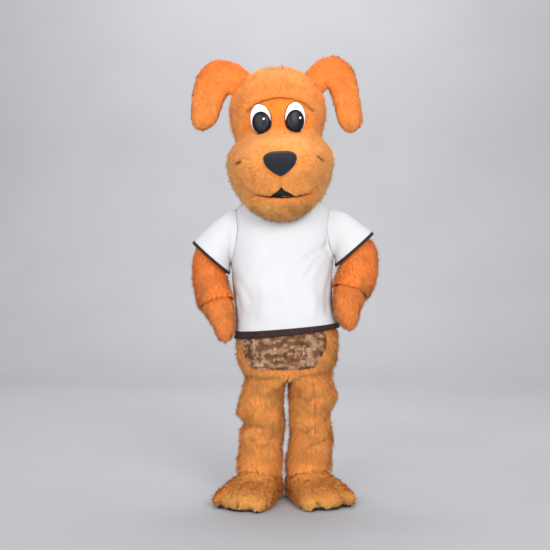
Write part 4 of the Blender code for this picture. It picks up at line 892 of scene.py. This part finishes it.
class Shader:
    """A Principled material and short ways to wire its nodes."""

    def __init__(self, name, roughness, **values):
        self.material = bpy.data.materials.new(name)
        self.material.use_nodes = True
        self.tree = self.material.node_tree
        self.main = self.tree.nodes["Principled BSDF"]
        self.main.inputs["Roughness"].default_value = roughness
        for key, value in values.items():
            self.main.inputs[key.replace("_", " ")].default_value = value
        self.place = self.node("ShaderNodeTexCoord").outputs["Object"]

    def node(self, kind, **settings):
        made = self.tree.nodes.new(kind)
        for key, value in settings.items():
            setattr(made, key, value)
        return made

    def join(self, output, socket):
        self.tree.links.new(output, socket)

    def noise(self, scale, detail=3.0, stretch=None):
        """Noise over the object's own metres."""
        texture = self.node("ShaderNodeTexNoise")
        texture.inputs["Scale"].default_value = scale
        texture.inputs["Detail"].default_value = detail
        texture.inputs["Roughness"].default_value = NOISE_ROUGHNESS
        place = self.place
        if stretch:
            mapping = self.node("ShaderNodeMapping")
            mapping.inputs["Scale"].default_value = stretch
            self.join(place, mapping.inputs["Vector"])
            place = mapping.outputs["Vector"]
        self.join(place, texture.inputs["Vector"])
        return texture.outputs["Fac"]

    def cells(self, scale):
        """How far each place lies from the middle of its small cell."""
        texture = self.node("ShaderNodeTexVoronoi")
        texture.inputs["Scale"].default_value = scale
        self.join(self.place, texture.inputs["Vector"])
        return texture.outputs["Distance"]

    def ramp(self, factor, *stops):
        """Colours along a factor: each stop is a place and a colour."""
        ramp = self.node("ShaderNodeValToRGB")
        elements = ramp.color_ramp.elements
        while len(elements) < len(stops):
            elements.new(0.5)
        for element, (place, colour) in zip(elements, stops):
            element.position = place
            element.color = (*colour, 1.0)
        self.join(factor, ramp.inputs["Fac"])
        return ramp.outputs["Color"]

    def multiplied(self, first, second):
        """Two colours multiplied."""
        mix = self.node("ShaderNodeMix", data_type="RGBA", blend_type="MULTIPLY")
        mix.inputs["Factor"].default_value = 1.0
        self.join(first, mix.inputs["A"])
        self.join(second, mix.inputs["B"])
        return mix.outputs["Result"]

    def colour(self, output):
        self.join(output, self.main.inputs["Base Color"])

    def bump(self, height, distance, strength):
        """Relief from a height."""
        bump = self.node("ShaderNodeBump")
        bump.inputs["Distance"].default_value = distance
        bump.inputs["Strength"].default_value = strength
        self.join(height, bump.inputs["Height"])
        self.join(bump.outputs["Normal"], self.main.inputs["Normal"])


def make_pile_material(name):
    """Fur and plush locks: their own colours, a little uneven from place to place."""
    shader = Shader(name, 0.72, Specular_IOR_Level=0.15, Sheen_Weight=0.10, Sheen_Roughness=0.6)
    shader.main.inputs["Sheen Tint"].default_value = (1.0, 0.80, 0.60, 1.0)
    own = shader.node("ShaderNodeVertexColor", layer_name="pile_colour").outputs["Color"]
    dull, fresh = (0.90, 0.90, 0.90), (1.06, 1.04, 1.02)
    patches = shader.ramp(shader.noise(22.0, 3.0), (0.30, dull), (0.70, fresh))
    shader.colour(shader.multiplied(own, patches))
    return shader.material


def make_surface(name, surface):
    """A material that mottles between two colours and has a fine relief."""
    gloss, sheen = surface.specular, surface.sheen
    shader = Shader(name, surface.roughness, Specular_IOR_Level=gloss, Sheen_Weight=sheen)
    if name in SHEEN_TINTS:
        shader.main.inputs["Sheen Tint"].default_value = SHEEN_TINTS[name]
    shader.colour(shader.ramp(shader.noise(*surface.mottling), (0.3, surface.low), (0.7, surface.high)))
    shader.bump(shader.noise(*surface.relief), surface.height, surface.strength)
    return shader.material


def make_backing_material(name, colour):
    """The knit backing that the pile stands on."""
    deep = tuple(value * BACKING_DEEP for value in colour)
    return make_surface(name, BACKING._replace(low=deep, high=colour))


def make_shirt_material():
    """Smooth thick white knit with a fine grain."""
    shader = Shader("shirt_white", 0.66, Specular_IOR_Level=0.20, Sheen_Weight=0.04)
    low, high = srgb(190, 190, 192), srgb(196, 196, 198)
    shader.colour(shader.ramp(shader.noise(9.0, 4.0), (0.3, low), (0.7, high)))
    shader.bump(shader.cells(900.0), 0.0004, 0.35)
    return shader.material


def make_mouth_material():
    """Open black mesh, whose black also paints the shade in the gap between the lips."""
    shader = Shader("mouth_black_and_lip_shade", 0.9, Specular_IOR_Level=0.1)
    holes = shader.cells(600.0)
    shader.colour(shader.ramp(holes, (0.2, (0.002, 0.002, 0.002)), (0.6, (0.02, 0.02, 0.02))))
    shader.bump(holes, 0.0008, 0.8)
    return shader.material


# Build


def make_fur():
    """Every fur panel."""
    pile_material = make_pile_material("fur_pile")
    backings = {}
    for panel in PANELS:
        if panel.pile not in backings:
            colour = srgb(*PILES[panel.pile].root)
            backings[panel.pile] = make_backing_material(f"fur_backing_{panel.pile}", colour)
        skin, locks = fur_panel(panel, pile_material, backings[panel.pile])
        thickened(skin, BACKING_THICKNESS)


def cloth_piece(node, material, rounds, thickness, lumps):
    """A sewn cloth panel on its solid's form, with its creases."""
    net, _, fine = net_of(node, CLOTH_CUTS)
    piece = mesh_object(f"cloth_{node}", net, fine, material)
    welded(piece)
    smoothed(piece, rounds)
    creased(piece, node, lumps)
    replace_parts(piece, node)
    thickened(piece, thickness)


def whole_piece(node, name, material, cuts=3):
    """A moulded or padded piece, rounded from its solid's facets."""
    net, _, fine = net_of(node, cuts)
    piece = mesh_object(name, net, fine, material)
    welded(piece)
    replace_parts(piece, node)
    return piece


def make_patch():
    """The crushed plush belly patch: a marbled short pile on its own backing."""
    backing = make_backing_material("patch_backing", srgb(*PATCH_BACKING_COLOUR))
    net, normals, fine = net_of("belly_patch", PATCH_CUTS)
    crush = (noise(net, PATCH_CRUSH_SIZE) - 0.5) * PATCH_CRUSH
    net = net - normals * (PATCH_DEPTH + crush)[:, None]
    skin = mesh_object("backing_belly_patch", net, fine, backing)
    welded(skin)
    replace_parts(skin, "belly_patch")
    keep = uncovered(PATCH_PANEL, net, normals, fine)
    roots, root_normals = scattered(net, normals, fine, keep, PATCH_DENSITY * PILE_SHARE)
    light, dark, deep = (np.array(srgb(*shade)) for shade in PATCH_SHADES)
    marble = 0.60 * noise(roots * PATCH_SQUASH, 0.026) + layered(roots, PATCH_NOISE)
    marble = marble + PATCH_PALER_BELOW * ramped(-roots[:, 2], *PATCH_PALE_BAND)
    share = ramped(marble, *PATCH_LIGHT_BAND)[:, None]
    colours = light * share + dark * (1 - share)
    shade = ramped(-marble, *PATCH_DEEP_BAND)[:, None]
    colours = colours * (1 - shade) + deep * shade
    count = len(roots)
    way = unit(noise_slope(roots, PATCH_TUFT) + rng.normal(0, 0.05, (count, 3)))
    lie = unit(root_normals * PATCH_RISE + way)
    tip = roots + lie * (PATCH_LOCK * rng.uniform(*PATCH_LOCK_RANGE, count))[:, None]
    across = unit(np.cross(lie, root_normals) + rng.normal(0, PATCH_TWIST, (count, 3)))
    across *= PATCH_LOCK_HALF_WIDTH
    locks = np.stack([roots - across, roots + across, tip], axis=1).reshape(-1, 3)
    faces = np.arange(count * 3).reshape(-1, 3)
    material = make_pile_material("patch_pile")
    piece = mesh_object("pile_belly_patch", locks, faces, material)
    bright = rng.uniform(*PATCH_BRIGHT_RANGE, count)[:, None]
    low = colours * PATCH_ROOT_SHADE * bright
    tilt = unit(root_normals + 0.4 * lie + rng.normal(0, 0.06, (count, 3)))
    finish_locks(piece.data, (low, low, colours * bright), tilt)
    thickened(skin, PATCH_BACKING)


def eye_rim(side, material):
    """A thin dark rim that shows round an eye: the eye's own form, a little wider and set back."""
    points, faces = SOLIDS[f"eye_white_{side}"]
    ways = face_normals(*SOLIDS[f"pupil_{side}"])
    outward = unit(ways[ways[:, 1] < 0].sum(axis=0))
    middle = points.mean(axis=0)
    grown = middle + (points - middle) * RIM_GROWTH - outward * RIM_SET_BACK
    mesh_object(f"eye_rim_{side}", grown, faces, material)


def fine_line(name, line, radius, material):
    """A thin round line, as a mesh, that grows finer towards its ends."""
    curve = bpy.data.curves.new(name, "CURVE")
    curve.dimensions = "3D"
    curve.bevel_depth = radius
    curve.bevel_resolution = 3
    curve.use_fill_caps = True
    spline = curve.splines.new("NURBS")
    spline.points.add(len(line) - 1)
    for number, (point, place) in enumerate(zip(spline.points, line)):
        point.co = (*place, 1.0)
        share = number / (len(line) - 1)
        point.radius = LINE_END + (1 - LINE_END) * min(1.0, LINE_SWELL * share * (1 - share))
    spline.order_u = 3
    spline.resolution_u = 4
    spline.use_endpoint_u = True
    source = bpy.data.objects.new(name, curve)
    bpy.context.scene.collection.objects.link(source)
    mesh = bpy.data.meshes.new_from_object(source.evaluated_get(bpy.context.evaluated_depsgraph_get()))
    bpy.data.objects.remove(source)
    mesh.materials.clear()
    placed(name, mesh, material)


def make_face():
    """Eyes and nose."""
    white = make_surface("eye_gloss_white", EYE)
    black = make_surface("pupil_gloss", PUPIL)
    for side in SIDES:
        whole_piece(f"eye_white_{side}", f"eye_{side}", white)
        whole_piece(f"pupil_{side}", f"pupil_dome_{side}", black)
        whole_piece(f"glint_{side}", f"glint_dot_{side}", white)
        eye_rim(side, black)
    nose = whole_piece("nose", "nose_pad", make_surface("nose_velour", NOSE), 4)


def make_mouth():
    """The black mesh behind the mouth's opening, and a dark line between the lips that paints the shade
    in their gap.
    """
    material = make_mouth_material()
    points, faces = SOLIDS["mouth_mesh"]
    middle = points.mean(axis=0)
    grown = middle + (points - middle) * MOUTH_GROWTH + MOUTH_SHIFT
    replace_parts(mesh_object("mouth_net", grown, faces, material), "mouth_mesh")
    # Painted shade: a dark cord laid along the gap between the lips
    line = crease_line(SMILE, tree_of("head_muzzle", "head_jaw"))
    fine_line("lip_gap_shade", line + LIP_SHADE_LINE_SHIFT, LIP_SHADE_LINE_RADIUS, material)


def make_shade_lines():
    """Thin dark lines of painted shade along the brow's seam and in a dimple at each end of the smile.
    """
    shade_material = make_backing_material("painted_shade_lines", srgb(*SHADE_LINE_COLOUR))
    for name, (crease, radius) in SHADE_LINES.items():
        line = crease_line(crease, tree_of(*HEAD_NODES))
        fine_line(name, line, radius, shade_material)


def make_soles():
    """The black foam soles."""
    material = make_surface("sole_black", SOLE)
    for side in SIDES:
        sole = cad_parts[f"sole_{side}"]
        sole.data.materials.clear()
        sole.data.materials.append(material)


def make_shirt():
    """The white shirt and its dark bindings."""
    white = make_shirt_material()
    brown = make_surface("binding_brown", BINDING)
    for node in ("shirt_front", "shirt_back"):
        cloth_piece(node, white, 10, SHIRT_THICKNESS, CLOTH_LUMPS)
    for side in SIDES:
        cloth_piece(f"shirt_sleeve_{side}", white, 8, SHIRT_THICKNESS, CLOTH_LUMPS)
    for node in ("binding_hem", "binding_sleeve_right", "binding_sleeve_left"):
        cloth_piece(node, brown, 0, BINDING_THICKNESS, 0.0)


# Studio

SWEEP_HALF, SWEEP_FRONT, SWEEP_BACK, SWEEP_TOP = 8.0, -9.0, 6.4, 7.0
SWEEP_RADIUS = 2.4
SWEEP_STEPS = 12
UNDER_SOLES = 0.0005
AIR_COLOUR = (0.95, 0.97, 1.0, 1.0)
AIR_STRENGTH = 0.58
# Soft square lamps: where each hangs, what it looks at, its size and its power
LAMPS = {
    "key": ((2.0, -4.6, 1.7), (0, 0, -0.2), 2.2, 196),
    "fill": ((-2.4, -4.4, 0.8), (0, 0, -0.4), 2.6, 130),
    "low": ((0.0, -5.2, -0.6), (0, 0, -0.9), 1.4, 42),
    "top": ((0.0, 0.6, 3.2), (0, 0, 0.0), 2.4, 18),
    "backdrop": ((0.0, 1.8, 4.2), (0, 6.0, 0.4), 3.0, 290),
}


def make_sweep():
    """Pale paper: the floor, curving up into the backdrop."""
    bend = SWEEP_BACK - SWEEP_RADIUS
    profile = [(SWEEP_FRONT, 0.0), (bend, 0.0)]
    for k in range(1, SWEEP_STEPS + 1):
        turn = math.radians(90 * k / SWEEP_STEPS)
        ahead, above = math.sin(turn), 1 - math.cos(turn)
        profile.append((bend + SWEEP_RADIUS * ahead, SWEEP_RADIUS * above))
    profile.append((SWEEP_BACK, SWEEP_TOP))
    points = [(x, y, z + FLOOR_Z - UNDER_SOLES) for y, z in profile for x in (-SWEEP_HALF, SWEEP_HALF)]
    faces = [(2 * k, 2 * k + 1, 2 * k + 3, 2 * k + 2) for k in range(len(profile) - 1)]
    mesh = bpy.data.meshes.new("studio_sweep")
    mesh.from_pydata(points, [], faces)
    mesh.shade_smooth()
    sweep = bpy.data.objects.new("studio_sweep", mesh)
    bpy.context.scene.collection.objects.link(sweep)
    shader = Shader("studio_paper", 0.7, Specular_IOR_Level=0.25)
    shader.colour(shader.ramp(shader.noise(1.2), (0.2, srgb(165, 165, 168)), (0.8, srgb(171, 171, 174))))
    mesh.materials.append(shader.material)


def make_lights():
    """The lamps and the soft light from all round."""
    for name, (place, target, size, power) in LAMPS.items():
        light = bpy.data.lights.new(name, "AREA")
        light.size = size
        light.energy = power
        lamp = bpy.data.objects.new(name, light)
        lamp.location = place
        lamp.rotation_euler = (Vector(target) - Vector(place)).to_track_quat("-Z", "Y").to_euler()
        lamp.visible_camera = False
        bpy.context.scene.collection.objects.link(lamp)
    world = bpy.data.worlds.new("studio_air")
    world.use_nodes = True
    air = world.node_tree.nodes["Background"]
    air.inputs["Color"].default_value = AIR_COLOUR
    air.inputs["Strength"].default_value = AIR_STRENGTH
    bpy.context.scene.world = world


def make_camera():
    """The camera, where the photograph was taken from."""
    bpy.context.scene.view_settings.view_transform = "Standard"
    camera = bpy.data.cameras.new("camera")
    camera.lens = CAMERA_LENS
    camera.sensor_width = SENSOR
    seat = bpy.data.objects.new("camera", camera)
    seat.location = (0.0, -CAMERA_BACK, CAMERA_HEIGHT)
    seat.rotation_euler = (math.radians(90) + CAMERA_PITCH, 0.0, CAMERA_YAW)
    bpy.context.scene.collection.objects.link(seat)
    bpy.context.scene.camera = seat


def main():
    """Dresses the costume and sets the studio."""
    make_sweep()
    make_lights()
    make_camera()
    make_fur()
    make_patch()
    make_shirt()
    make_face()
    make_mouth()
    make_shade_lines()
    make_soles()


main()
